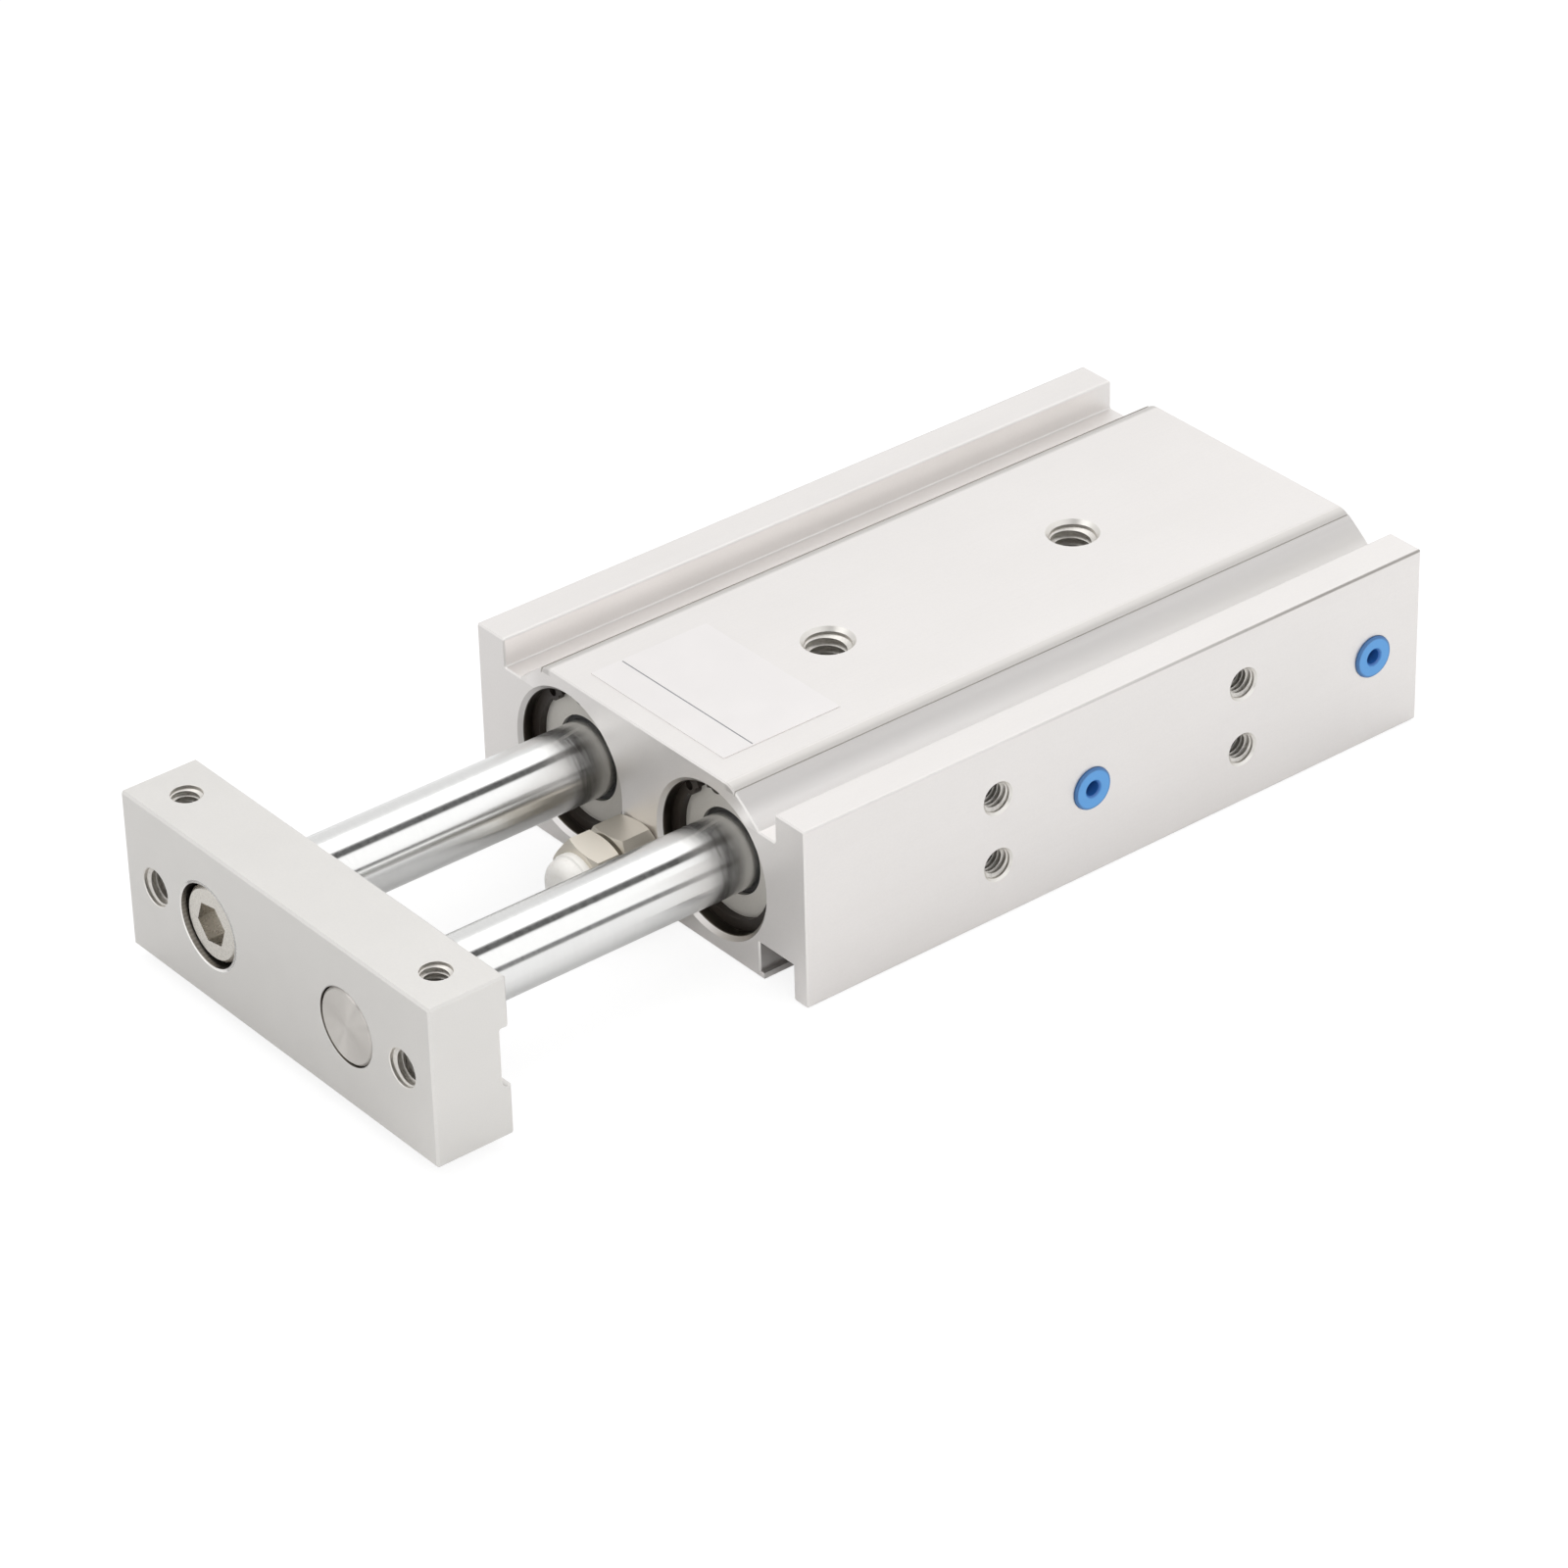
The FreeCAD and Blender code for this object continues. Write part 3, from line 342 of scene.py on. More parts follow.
@dataclass(frozen=True)
class Coated(Finish):
    """One principled surface: grains, zones and wear change its colour, gloss and height.

    Where it has a lay, the surface was turned or ground round that axis, and what it mirrors is
    drawn out across the lay.
    """

    colour: str = "#808080"
    dark_colour: str = "#707070"
    metallic: float = 0.0
    roughness: float = 0.5
    ior: float = 1.5
    grains: tuple[Grain, ...] = ()
    zones: tuple[Zone, ...] = ()
    wear: Wear | None = None
    lay_round: str = ""
    lay_strength: float = 0.0

    def tone(self, tree: bpy.types.NodeTree, heights: list[Socket]) -> Value:
        """Mix the colour with the dark colour, then lay the zones and the wear over it.

        Args:
            tree: Node tree of the material.
            heights: Value of each grain, in order.

        Returns:
            The mixed colour, or the plain one where nothing changes it.
        """
        mixed = linear(self.colour)
        for grain, height in zip(self.grains, heights):
            if grain.tone:
                share = add_node(tree, "ShaderNodeMapRange", {
                    "Value": height, "From Min": NOISE_LOW, "From Max": NOISE_HIGH,
                    "To Min": grain.tone, "To Max": 0.0,
                })
                mixed = self.blend(tree, share.outputs["Result"], mixed, self.dark_colour)
        for zone in self.zones:
            mixed = self.blend(tree, zone.mask(tree), mixed, zone.colour)
        if self.wear:
            mixed = self.blend(tree, self.wear.mask(tree), mixed, self.wear.colour)
        return mixed

    @staticmethod
    def blend(tree: bpy.types.NodeTree, share: Socket, under: Value, over: str) -> Socket:
        """Lay one colour over another by a share."""
        inputs = {0: share, 6: under, 7: linear(over)}
        return add_node(tree, "ShaderNodeMix", inputs, data_type="RGBA").outputs[2]

    def relief(self, tree: bpy.types.NodeTree, heights: list[Socket]) -> Socket | None:
        """Chain one bump for each grain that has a depth and each zone with a rim.

        Args:
            tree: Node tree of the material.
            heights: Value of each grain, in order.

        Returns:
            The last bump's normal, or None where the surface is smooth.
        """
        layers = [
            (height, grain.depth_mm * MM)
            for grain, height in zip(self.grains, heights) if grain.depth_mm
        ]
        layers += [(zone.rim(tree), 1.0) for zone in self.zones if zone.rim_mm]
        normal = None
        for height, distance in layers:
            inputs = {"Height": height, "Distance": distance, "Strength": 1.0}
            if normal:
                inputs["Normal"] = normal
            normal = add_node(tree, "ShaderNodeBump", inputs).outputs["Normal"]
        return normal

    def gloss(self, tree: bpy.types.NodeTree, heights: list[Socket]) -> Value:
        """Swing the roughness by the first grain that asks for it, then set the zones' own.

        Args:
            tree: Node tree of the material.
            heights: Value of each grain, in order.

        Returns:
            The mixed roughness, or the plain one where nothing changes it.
        """
        rough = self.roughness
        for grain, height in zip(self.grains, heights):
            if grain.gloss:
                swing = add_node(tree, "ShaderNodeMapRange", {
                    "Value": height, "From Min": NOISE_LOW, "From Max": NOISE_HIGH,
                    "To Min": self.roughness - grain.gloss, "To Max": self.roughness + grain.gloss,
                })
                rough = swing.outputs["Result"]
                break
        for zone in self.zones:
            inputs = {0: zone.mask(tree), 2: rough, 3: zone.roughness}
            rough = add_node(tree, "ShaderNodeMix", inputs, data_type="FLOAT").outputs[0]
        return rough

    def shader(self, tree: bpy.types.NodeTree) -> bpy.types.Node:
        """Add the principled shader with whatever its grains, zones, wear and lay change.

        Args:
            tree: Node tree of the material.

        Returns:
            The shader node.
        """
        heights = [grain.height(tree) for grain in self.grains]
        inputs = {
            "Base Color": self.tone(tree, heights),
            "Metallic": self.metallic,
            "Roughness": self.gloss(tree, heights),
        }
        if not self.metallic:
            inputs["IOR"] = self.ior
        normal = self.relief(tree, heights)
        if normal:
            inputs["Normal"] = normal
        if self.lay_round:
            lay = add_node(tree, "ShaderNodeTangent", direction_type="RADIAL", axis=self.lay_round)
            inputs["Tangent"] = lay.outputs["Tangent"]
            inputs["Anisotropic"] = self.lay_strength
            inputs["Anisotropic Rotation"] = QUARTER_TURN
        return add_node(tree, "ShaderNodeBsdfPrincipled", inputs)


# Aluminium cut by a tap or a drill: bare, brighter and sharper than the anodised skin round it.
TAPPED_COLOUR = "#E4E1DC"
TAPPED_ROUGHNESS = 0.38
TAPPED_ALUMINIUM = Coated(
    "tapped_aluminium", TAPPED_COLOUR, "#B9B5AF", 1.0, TAPPED_ROUGHNESS,
    grains=(Grain((0.4, 0.4, 0.4), depth_mm=0.001, tone=0.4, gloss=0.05),),
)

ALONG_X = (1.0, 0.0, 0.0)
ALONG_Y = (0.0, 1.0, 0.0)
ALONG_Z = (0.0, 0.0, 1.0)
ROUND_X = (0.0, 1.0, 1.0)
ROUND_Y = (1.0, 0.0, 1.0)
ROUND_Z = (1.0, 1.0, 0.0)

# Clear anodised extrusion: a pale, even metal whose die lines along X soften what it mirrors.
# The lines are about 0.05 mm apart and the etch finer still; both are drawn coarser, to show.
# The bores are honed, and their walls are painted dark: a painted shade for the shade deep inside
# them.
HOUSING_FINISH = Coated(
    "clear_anodised_extrusion", "#EAE7E5", "#DAD7D4", 1.0, 0.4,
    grains=(
        Grain((60.0, 0.35, 0.35), depth_mm=0.002, detail=2.0, gloss=0.03),
        Grain((0.22, 0.22, 0.22), depth_mm=0.0015, tone=0.15),
        Grain((14.0, 9.0, 9.0), detail=2.0, tone=0.12),
    ),
    zones=(
        # the curved shoulders in the grooves: glossier, lighter by a painted sheen, and duller and
        # darker towards the rear by a painted shade
        Zone(
            (Region(ALONG_Y, (0, 0, 0), (0, 21.6, 0), 1.3, 1.1),
             Region(ALONG_Z, (0, 0, 25), (0, 0, 0), 4.2)),
            "#F2EFED", 0.33,
        ),
        Zone(
            (Region(ALONG_Y, (0, 0, 0), (0, 21.7, 0), 0.9, 0.8),
             Region(ALONG_Z, (0, 0, 25), (0, 0, 0), 4.2),
             Region(ALONG_X, (-50, 0, 0), (0, 0, 0), 45.0, 30.0)),
            "#E2DFDC", 0.35,
        ),
        # the rolled edges of the raised middle, and the seam lines below them: painted darker, a
        # painted shade
        Zone(
            (Region(ALONG_Y, (0, 0, 0), (0, 18.1, 0), 0.8, 0.3),
             Region(ALONG_Z, (0, 0, 25), (0, 0, 0), 1.0)),
            "#D2CFCC", 0.5,
        ),
        Zone(
            (Region(ALONG_Y, (0, 0, 0), (0, 18.9, 0), 0.1, 0.03),
             Region(ALONG_Z, (0, 0, 25), (0, 0, 0), 1.2)),
            "#B7B3AE", 0.5,
        ),
        # the outer top edges of the rails: a painted shade, dark towards the rear
        Zone(
            (Region(ALONG_Y, (0, 0, 0), (0, 32, 0), 0.22, 0.1),
             Region(ALONG_Z, (0, 0, 25), (0, 0, 0), 0.3, 0.1),
             Region(ALONG_X, (-50, 0, 0), (0, 0, 0), 45.0, 25.0)),
            "#A9A5A1", 0.5,
        ),
        # the two bores, painted dark as a painted shade; the top holes and the side holes
        Zone((Region(ROUND_X, (0, 0, 12.5), (0, 14, 0), 10.07),), "#57514A", 0.28),
        Zone((Region(ROUND_Z, (0, 0, 0), (20, 0, 0), 3.52),), TAPPED_COLOUR, TAPPED_ROUGHNESS),
        Zone(
            (Region(ROUND_Y, (0, 0, 12.5), (20, 0, 4.75), 2.32),
             Region(ALONG_Y, (0, 0, 0), (0, 32, 0), 8.0)),
            TAPPED_COLOUR, TAPPED_ROUGHNESS,
        ),
    ),
    wear=Wear(0.3, "#F4F1EE", 0.3),
)

# Clear anodised bar, milled and etched: the same metal, matt in every direction, with its etch
# drawn coarser than its real 0.05 mm.
PLATE_FINISH = Coated(
    "clear_anodised_plate", "#E2E0DD", "#CFCDCA", 1.0, 0.44,
    grains=(
        Grain((0.2, 0.2, 0.2), depth_mm=0.002, tone=0.2, gloss=0.03),
        Grain((8.0, 8.0, 8.0), detail=2.0, tone=0.12),
    ),
    zones=(
        # the front holes and the top holes
        Zone((Region(ROUND_X, (0, 0, 12.5), (0, 25, 0), 2.62),), TAPPED_COLOUR, TAPPED_ROUGHNESS),
        Zone((Region(ROUND_Z, (98.5, 0, 0), (0, 25, 0), 2.07),), TAPPED_COLOUR, TAPPED_ROUGHNESS),
        # a painted highlight in a ring round the screw's counterbore, for the glint of a chamfer;
        # that bore and the hole of the right rod painted dark, a painted shade
        Zone((Region(ROUND_X, (0, -14, 12.5), (0, 0, 0), 5.9),), "#F6F4F1", 0.25),
        Zone((Region(ROUND_X, (0, -14, 12.5), (0, 0, 0), 5.51),), "#8E8983", 0.3, rim_mm=0.38),
        Zone((Region(ROUND_X, (0, 14, 12.5), (0, 0, 0), 5.14),), "#8E8983", 0.3, rim_mm=0.1),
    ),
    wear=Wear(0.3, "#F4F1EE", 0.3),
)

# Turned aluminium: rings left by the tool.
TURNED_ALUMINIUM = Coated(
    "turned_aluminium", "#C4C0B9", "#A6A29B", 1.0, 0.42,
    grains=(Grain((0.4, 0.25, 0.25), depth_mm=0.002, tone=0.3),),
)

# Seal retainer: turned aluminium, glass-bead blasted to an even grey.
BLASTED_ALUMINIUM = Coated(
    "blasted_aluminium", "#D6D3CD", "#C3BFB8", 0.35, 0.6,
    grains=(Grain((0.2, 0.2, 0.2), depth_mm=0.002, tone=0.4),),
)

# Turned bearing alloy, a little darker and duller.
BEARING_ALLOY = Coated(
    "turned_bearing_alloy", "#B4AFA6", "#8F8A80", 1.0, 0.4,
    grains=(Grain((0.3, 0.4, 0.4), depth_mm=0.003, tone=0.3),),
)

# Hard chrome on a bar ground in its turning: a mirror across the bar, drawn out along it by the
# grinding marks. The faced end, within 0.6 mm of X 104, is greyer and fans the light out.
HARD_CHROME = Coated(
    "hard_chrome", "#EDEDEC", "#D5D5D4", 1.0, 0.2,
    grains=(Grain((0.4, 3.0, 3.0), detail=2.0, tone=0.2, gloss=0.03),),
    zones=(Zone((Region(ALONG_X, (104, 0, 0), (0, 0, 0), 0.6),), "#D9D5D0", 0.36),),
    lay_round="X", lay_strength=1.0,
)

# Spring steel, phosphated and oiled: brown-black with a fine crystal grain.
BLACK_PHOSPHATE = Coated(
    "black_phosphated_spring_steel", "#3A332D", "#211C19", 0.4, 0.42,
    grains=(Grain((0.15, 0.15, 0.15), depth_mm=0.004, tone=0.7, gloss=0.08),),
)

# Nickel plate over machined steel: warm, bright, softly mirrored, with a painted brown shade on
# its flats round Y -6 mm.
# Known fault: the frame's own slot material has this name too and is the one found, so the
# lock nut and the adjusting bolt show that plain material, and these values aren't used.
NICKEL_PLATE = Coated(
    "nickel_plated_steel", "#F1DEC7", "#9A8369", 1.0, 0.13,
    grains=(
        Grain((0.3, 0.3, 0.3), depth_mm=0.001, tone=0.15, gloss=0.04),
        Grain((3.5, 3.5, 3.5), detail=2.0, tone=0.5),
    ),
    # painted shade: dark brown on the flats round Y -6 mm
    zones=(Zone((Region(ALONG_Y, (0, -6, 0), (0, 0, 0), 4.5, 3.0),), "#735C47", 0.2),),
    wear=Wear(0.25, "#F7EEE2", 1.0),
)

# Plain steel screw, brushed by its forming and lightly oiled.
FORMED_STEEL = Coated(
    "bright_formed_steel", "#DEDAD3", "#BDB8B1", 1.0, 0.28,
    grains=(Grain((0.5, 0.5, 0.5), depth_mm=0.0005, tone=0.25, gloss=0.04),),
)

# Black oxide on a small screw.
BLACK_OXIDE = Coated(
    "black_oxide_steel", "#2B2B2C", "#1A1A1B", 0.6, 0.4,
    grains=(Grain((0.15, 0.15, 0.15), depth_mm=0.003, tone=0.5),),
)

# Moulded nitrile rubber: near black with a dull bloom.
NITRILE = Coated(
    "moulded_nitrile_rubber", "#1D1C1C", "#121111", 0.0, 0.55, 1.52,
    grains=(Grain((0.2, 0.2, 0.2), depth_mm=0.004, tone=0.5, gloss=0.08),),
)

# Cast polyurethane: amber and slightly glossy.
URETHANE = Coated(
    "cast_polyurethane", "#CDA75A", "#B48E45", 0.0, 0.35, 1.5,
    grains=(Grain((1.0, 1.0, 1.0), depth_mm=0.004, tone=0.4),),
)

# Moulded acetal: off-white, satin, a little waxy.
ACETAL = Coated(
    "moulded_acetal", "#FBF9F5", "#F1EDE6", 0.0, 0.32, 1.48,
    grains=(Grain((0.5, 0.5, 0.5), depth_mm=0.003, tone=0.4, gloss=0.05),),
)

# Moulded polyethylene, coloured through: satin, with a paler painted highlight on its face
# and a deeper painted shade in the small hole of each plug.
BLUE_POLYETHYLENE = Coated(
    "blue_moulded_polyethylene", "#3C6FA6", "#2F5F95", 0.0, 0.34, 1.51,
    grains=(Grain((0.9, 0.9, 0.9), depth_mm=0.004, tone=0.6, gloss=0.05),),
    zones=(
        Zone((Region(ROUND_Y, (-18.5, 0, 12.5), (23.5, 0, 0), 2.55, 0.12),), "#5396D3", 0.34),
        Zone((Region(ROUND_Y, (-18.5, 0, 12.5), (23.5, 0, 0), 1.2, 0.1),), "#2C66AD", 0.34),
    ),
)

# Sintered ferrite: charcoal and gritty.
FERRITE = Coated(
    "sintered_ferrite", "#3A3A3C", "#27272A", 0.0, 0.7, 1.6,
    grains=(Grain((0.2, 0.2, 0.2), depth_mm=0.01, tone=0.6),),
)


@dataclass(frozen=True)
class RuledFilm(Coated):
    """A thin satin film with one printed rule across it, placed in the frame's metres."""

    rule_colour: str = "#8C8C90"
    rule_x: float = 0.0
    rule_half_width: float = 0.00009
    rule_half_length: float = 0.0127

    def tone(self, tree: bpy.types.NodeTree, heights: list[Socket]) -> Value:
        """Print the rule over the film's own tone.

        The rule shows where |x - rule_x| is under its half width and |y| under its half length.

        Args:
            tree: Node tree of the material.
            heights: Value of each grain, in order.

        Returns:
            The film's colour with the rule on it.
        """
        film = super().tone(tree, heights)
        place = add_node(tree, "ShaderNodeTexCoord")
        split = add_node(tree, "ShaderNodeSeparateXYZ", {"Vector": place.outputs["Object"]})
        across = {0: split.outputs["X"], 1: self.rule_x, 2: self.rule_half_width}
        along = {0: split.outputs["Y"], 1: 0.0, 2: self.rule_half_length}
        masks = [
            add_node(tree, "ShaderNodeMath", inputs, operation="COMPARE").outputs[0]
            for inputs in (across, along)
        ]
        both = add_node(tree, "ShaderNodeMath", dict(enumerate(masks)), operation="MULTIPLY")
        return self.blend(tree, both.outputs[0], film, self.rule_colour)


# Meshes


def mesh_piece(
    name: str, points: np.ndarray, faces: np.ndarray, finish: Finish, sharp_deg: float
) -> bpy.types.Object:
    """Make a mesh object at the origin from whole arrays.

    Args:
        name: Name of the piece.
        points: Array of n points by 3, in the frame's metres.
        faces: Array of m faces by 4 point numbers.
        finish: Finish of the piece.
        sharp_deg: Edges that bend more than this stay sharp.

    Returns:
        The new object.
    """
    mesh = bpy.data.meshes.new(name)
    mesh.from_pydata(points.tolist(), [], faces.tolist())
    mesh.validate()
    mesh.shade_smooth()
    mesh.set_sharp_from_angle(angle=math.radians(sharp_deg))
    mesh.materials.append(finish.material())
    piece = bpy.data.objects.new(name, mesh)
    bpy.context.scene.collection.objects.link(piece)
    return piece


def dress(nodes: dict[str, bpy.types.Object], finishes: dict[str, Finish]) -> None:
    """Give CAD nodes their finishes, each in its first material slot.

    Args:
        nodes: CAD nodes by name.
        finishes: Finish for the node of that name, or for its left and its right one.
    """
    for name, finish in finishes.items():
        for wanted in (name, *(f"{name}_{side}" for side in SIDES)):
            node = nodes.get(wanted)
            if not node:
                continue
            if not node.material_slots:
                node.data.materials.append(None)
            node.material_slots[0].material = finish.material()


@dataclass
class ThreadRidge:
    """The helical ridge of a tapped hole.

    With turn angle t and axial place s = depth times t over all turns, each point is
    mouth + s * inward + r * (cos t * side + sin t * up). The ridge's section is a trapezium:
    its foot lies in the hole's wall, its crest at the minor radius. It fades out over its
    first and last half turn.
    """

    name: str
    mouth: Vector
    outward: Axis
    major_radius: float
    pitch: float
    start: float
    depth: float
    segments: int = 28
    ridge_share: float = 0.61
    foot_share: float = 0.44
    crest_share: float = 0.1
    embed: float = 0.00004
    fade_turns: float = 0.5
    fade_least: float = 0.02
    sharp_deg: float = 20.0

    def build(self, body: str, slot: str, finish: Finish) -> bpy.types.Object:
        """Make the ridge, finish it and let it ride on a body.

        Args:
            body: CAD body that carries the hole.
            slot: Material slot of the record for the piece; not used.
            finish: Finish of the ridge.

        Returns:
            The new object.
        """
        turns = (self.depth - self.start) / self.pitch
        steps = int(round(turns * self.segments)) + 1
        share = np.linspace(0.0, 1.0, steps)
        angle = share * turns * 2 * math.pi
        fade = np.minimum(share, 1 - share) * turns / self.fade_turns
        fade = np.clip(fade, self.fade_least, 1.0)
        crest = self.major_radius - self.ridge_share * self.pitch * fade
        foot = np.full_like(crest, self.major_radius + self.embed)
        radius = np.stack([foot, crest, crest, foot], axis=1)
        half = np.stack([self.foot_share * fade, self.crest_share * fade], axis=1) * self.pitch
        shift = np.stack([-half[:, 0], -half[:, 1], half[:, 1], half[:, 0]], axis=1)
        along = self.start + share[:, None] * (self.depth - self.start) + shift
        inward = -np.array(self.outward.value)
        side = np.roll(np.abs(inward), 1)
        up = np.cross(inward, side)
        spoke = np.cos(angle)[:, None, None] * side + np.sin(angle)[:, None, None] * up
        points = np.array(self.mouth) + along[..., None] * inward + radius[..., None] * spoke
        faces = self.faces(steps)
        piece = mesh_piece(self.name, points.reshape(-1, 3), faces, finish, self.sharp_deg)
        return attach(piece, body)

    @staticmethod
    def faces(steps: int) -> np.ndarray:
        """Join the sections into a closed four-sided tube, with both ends shut.

        Args:
            steps: Number of sections, each of four points.

        Returns:
            Array of faces by 4 point numbers.
        """
        here = np.arange(steps - 1)[:, None] * 4 + np.arange(4)
        beside = np.arange(steps - 1)[:, None] * 4 + (np.arange(4) + 1) % 4
        sides = np.stack([here, beside, beside + 4, here + 4], axis=-1).reshape(-1, 4)
        last = (steps - 1) * 4
        ends = np.array([[3, 2, 1, 0], [last, last + 1, last + 2, last + 3]])
        return np.concatenate([sides, ends])


@dataclass
class HousingLooks:
    """The housing, what stays in it, and the ridges in its tapped holes."""

    nodes: dict[str, bpy.types.Object]
    record: dict
    top_pitch: float = 0.001
    top_start: float = 0.0009
    top_depth: float = 0.010
    side_pitch: float = 0.0007
    side_start: float = 0.0006
    side_depth: float = 0.0065
    finishes: dict[str, Finish] = field(default_factory=lambda: {
        "housing": HOUSING_FINISH,
        "seal_retainer": BLASTED_ALUMINIUM,
        "rod_seal": NITRILE,
        "rod_cover": BEARING_ALLOY,
        "rod_cover_o_ring": NITRILE,
        "head_cover": TURNED_ALUMINIUM,
        "head_cover_o_ring": NITRILE,
        "rear_bumper": URETHANE,
        "front_retaining_ring": BLACK_PHOSPHATE,
        "rear_retaining_ring": BLACK_PHOSPHATE,
        "adjusting_bolt": NICKEL_PLATE,
        "lock_nut": NICKEL_PLATE,
        "bolt_bumper": ACETAL,
        "front_port_plug": BLUE_POLYETHYLENE,
        "rear_port_plug": BLUE_POLYETHYLENE,
    })

    def build(self) -> list[bpy.types.Object]:
        """Dress the nodes and build the thread ridges."""
        dress(self.nodes, self.finishes)
        return self.top_threads() + self.side_threads()

    def top_threads(self) -> list[bpy.types.Object]:
        """Build the ridges in the two vertical mounting holes.

        Returns:
            The two ridges, rear first.
        """
        mount = mount_named(self.record, "top_threads")
        centre = Vector(mount["pos_m"])
        half = mount["dims"]["spacing_x_mm"] * MM / 2
        made = []
        for number, offset in enumerate((-half, half), start=1):
            ridge = ThreadRidge(
                f"top_thread_{number}", centre + Vector((offset, 0, 0)), Axis.UP,
                mount["dims"]["hole_r_mm"] * MM, self.top_pitch, self.top_start, self.top_depth,
            )
            made.append(ridge.build(HOUSING_BODY, "anodised_aluminium", TAPPED_ALUMINIUM))
        return made

    def side_threads(self) -> list[bpy.types.Object]:
        """Build the ridges in the four holes of each side.

        Returns:
            The eight ridges, the left side's first.
        """
        made = []
        for side, outward in (("left", Axis.LEFT), ("right", Axis.RIGHT)):
            mount = mount_named(self.record, f"side_threads_{side}")
            centre = Vector(mount["pos_m"])
            half_x = mount["dims"]["spacing_x_mm"] * MM / 2
            half_z = mount["dims"]["spacing_y_mm"] * MM / 2
            places = [(x, z) for x in (-half_x, half_x) for z in (-half_z, half_z)]
            for number, (x, z) in enumerate(places, start=1):
                ridge = ThreadRidge(
                    f"side_thread_{side}_{number}", centre + Vector((x, 0, z)), outward,
                    mount["dims"]["hole_r_mm"] * MM,
                    self.side_pitch, self.side_start, self.side_depth,
                )
                made.append(ridge.build(HOUSING_BODY, "anodised_aluminium", TAPPED_ALUMINIUM))
        return made


@dataclass
class SlidingLooks:
    """The rods, the end plate and what goes with them."""

    nodes: dict[str, bpy.types.Object]
    record: dict
    front_pitch: float = 0.0008
    top_pitch: float = 0.0007
    top_depth: float = 0.006
    lead_in: float = 0.00045
    finishes: dict[str, Finish] = field(default_factory=lambda: {
        "piston_rod": HARD_CHROME,
        "piston": TURNED_ALUMINIUM,
        "piston_magnet": FERRITE,
        "piston_seal": NITRILE,
        "front_bumper": URETHANE,
        "end_plate": PLATE_FINISH,
        "plate_screw": FORMED_STEEL,
        "plate_set_screw": BLACK_OXIDE,
    })

    def build(self) -> list[bpy.types.Object]:
        """Dress the nodes and build the thread ridges."""
        dress(self.nodes, self.finishes)
        return self.plate_threads()

    def plate_threads(self) -> list[bpy.types.Object]:
        """Build the ridges in the plate's two front holes and two top holes.

        Returns:
            The four ridges, the front holes' first.
        """
        low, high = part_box("end_plate")
        made = []
        for name, outward, pitch, depth in (
            ("plate_front_thread", Axis.FORWARD, self.front_pitch, high.x - low.x - self.lead_in),
            ("plate_top_thread", Axis.UP, self.top_pitch, self.top_depth - self.lead_in),
        ):
            mount = mount_named(self.record, f"{name}s")
            centre = Vector(mount["pos_m"])
            dims = mount["dims"]
            half = (dims.get("spacing_x_mm") or dims.get("spacing_y_mm")) * MM / 2
            for side, offset in zip(SIDES, (-half, half)):
                ridge = ThreadRidge(
                    f"{name}_{side}", centre + Vector((0, offset, 0)), outward,
                    dims["hole_r_mm"] * MM, pitch, self.lead_in, depth,
                )
                made.append(ridge.build(ROD_BODY, "anodised_aluminium", TAPPED_ALUMINIUM))
        return made


@dataclass
class LabelLooks:
    """The blank film label with one printed rule across it."""

    nodes: dict[str, bpy.types.Object]
    rule_setback: float = 0.00465

    def build(self) -> None:
        """Dress the label: the rule lies a set distance behind the film's front edge."""
        front_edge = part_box("blank_label")[1].x
        # Clear polyester film over the metal: nearly the metal's own colour, a little smoother.
        film = RuledFilm(
            "clear_polyester_film", "#ECE9E8", "#E7E4E3", 1.0, 0.38,
            grains=(Grain((6.0, 6.0, 6.0), depth_mm=0.002, tone=0.3, gloss=0.02),),
            rule_x=front_edge - self.rule_setback,
        )
        dress(self.nodes, {"blank_label": film})


def mount_named(record: dict, name: str) -> dict:
    """The record's mount of that name."""
    return next(mount for mount in record["mounts"] if mount["name"] == name)


# Studio


class PanelKind(Enum):
    """What a studio panel does."""

    LAMP = "lamp"
    CARD = "card"


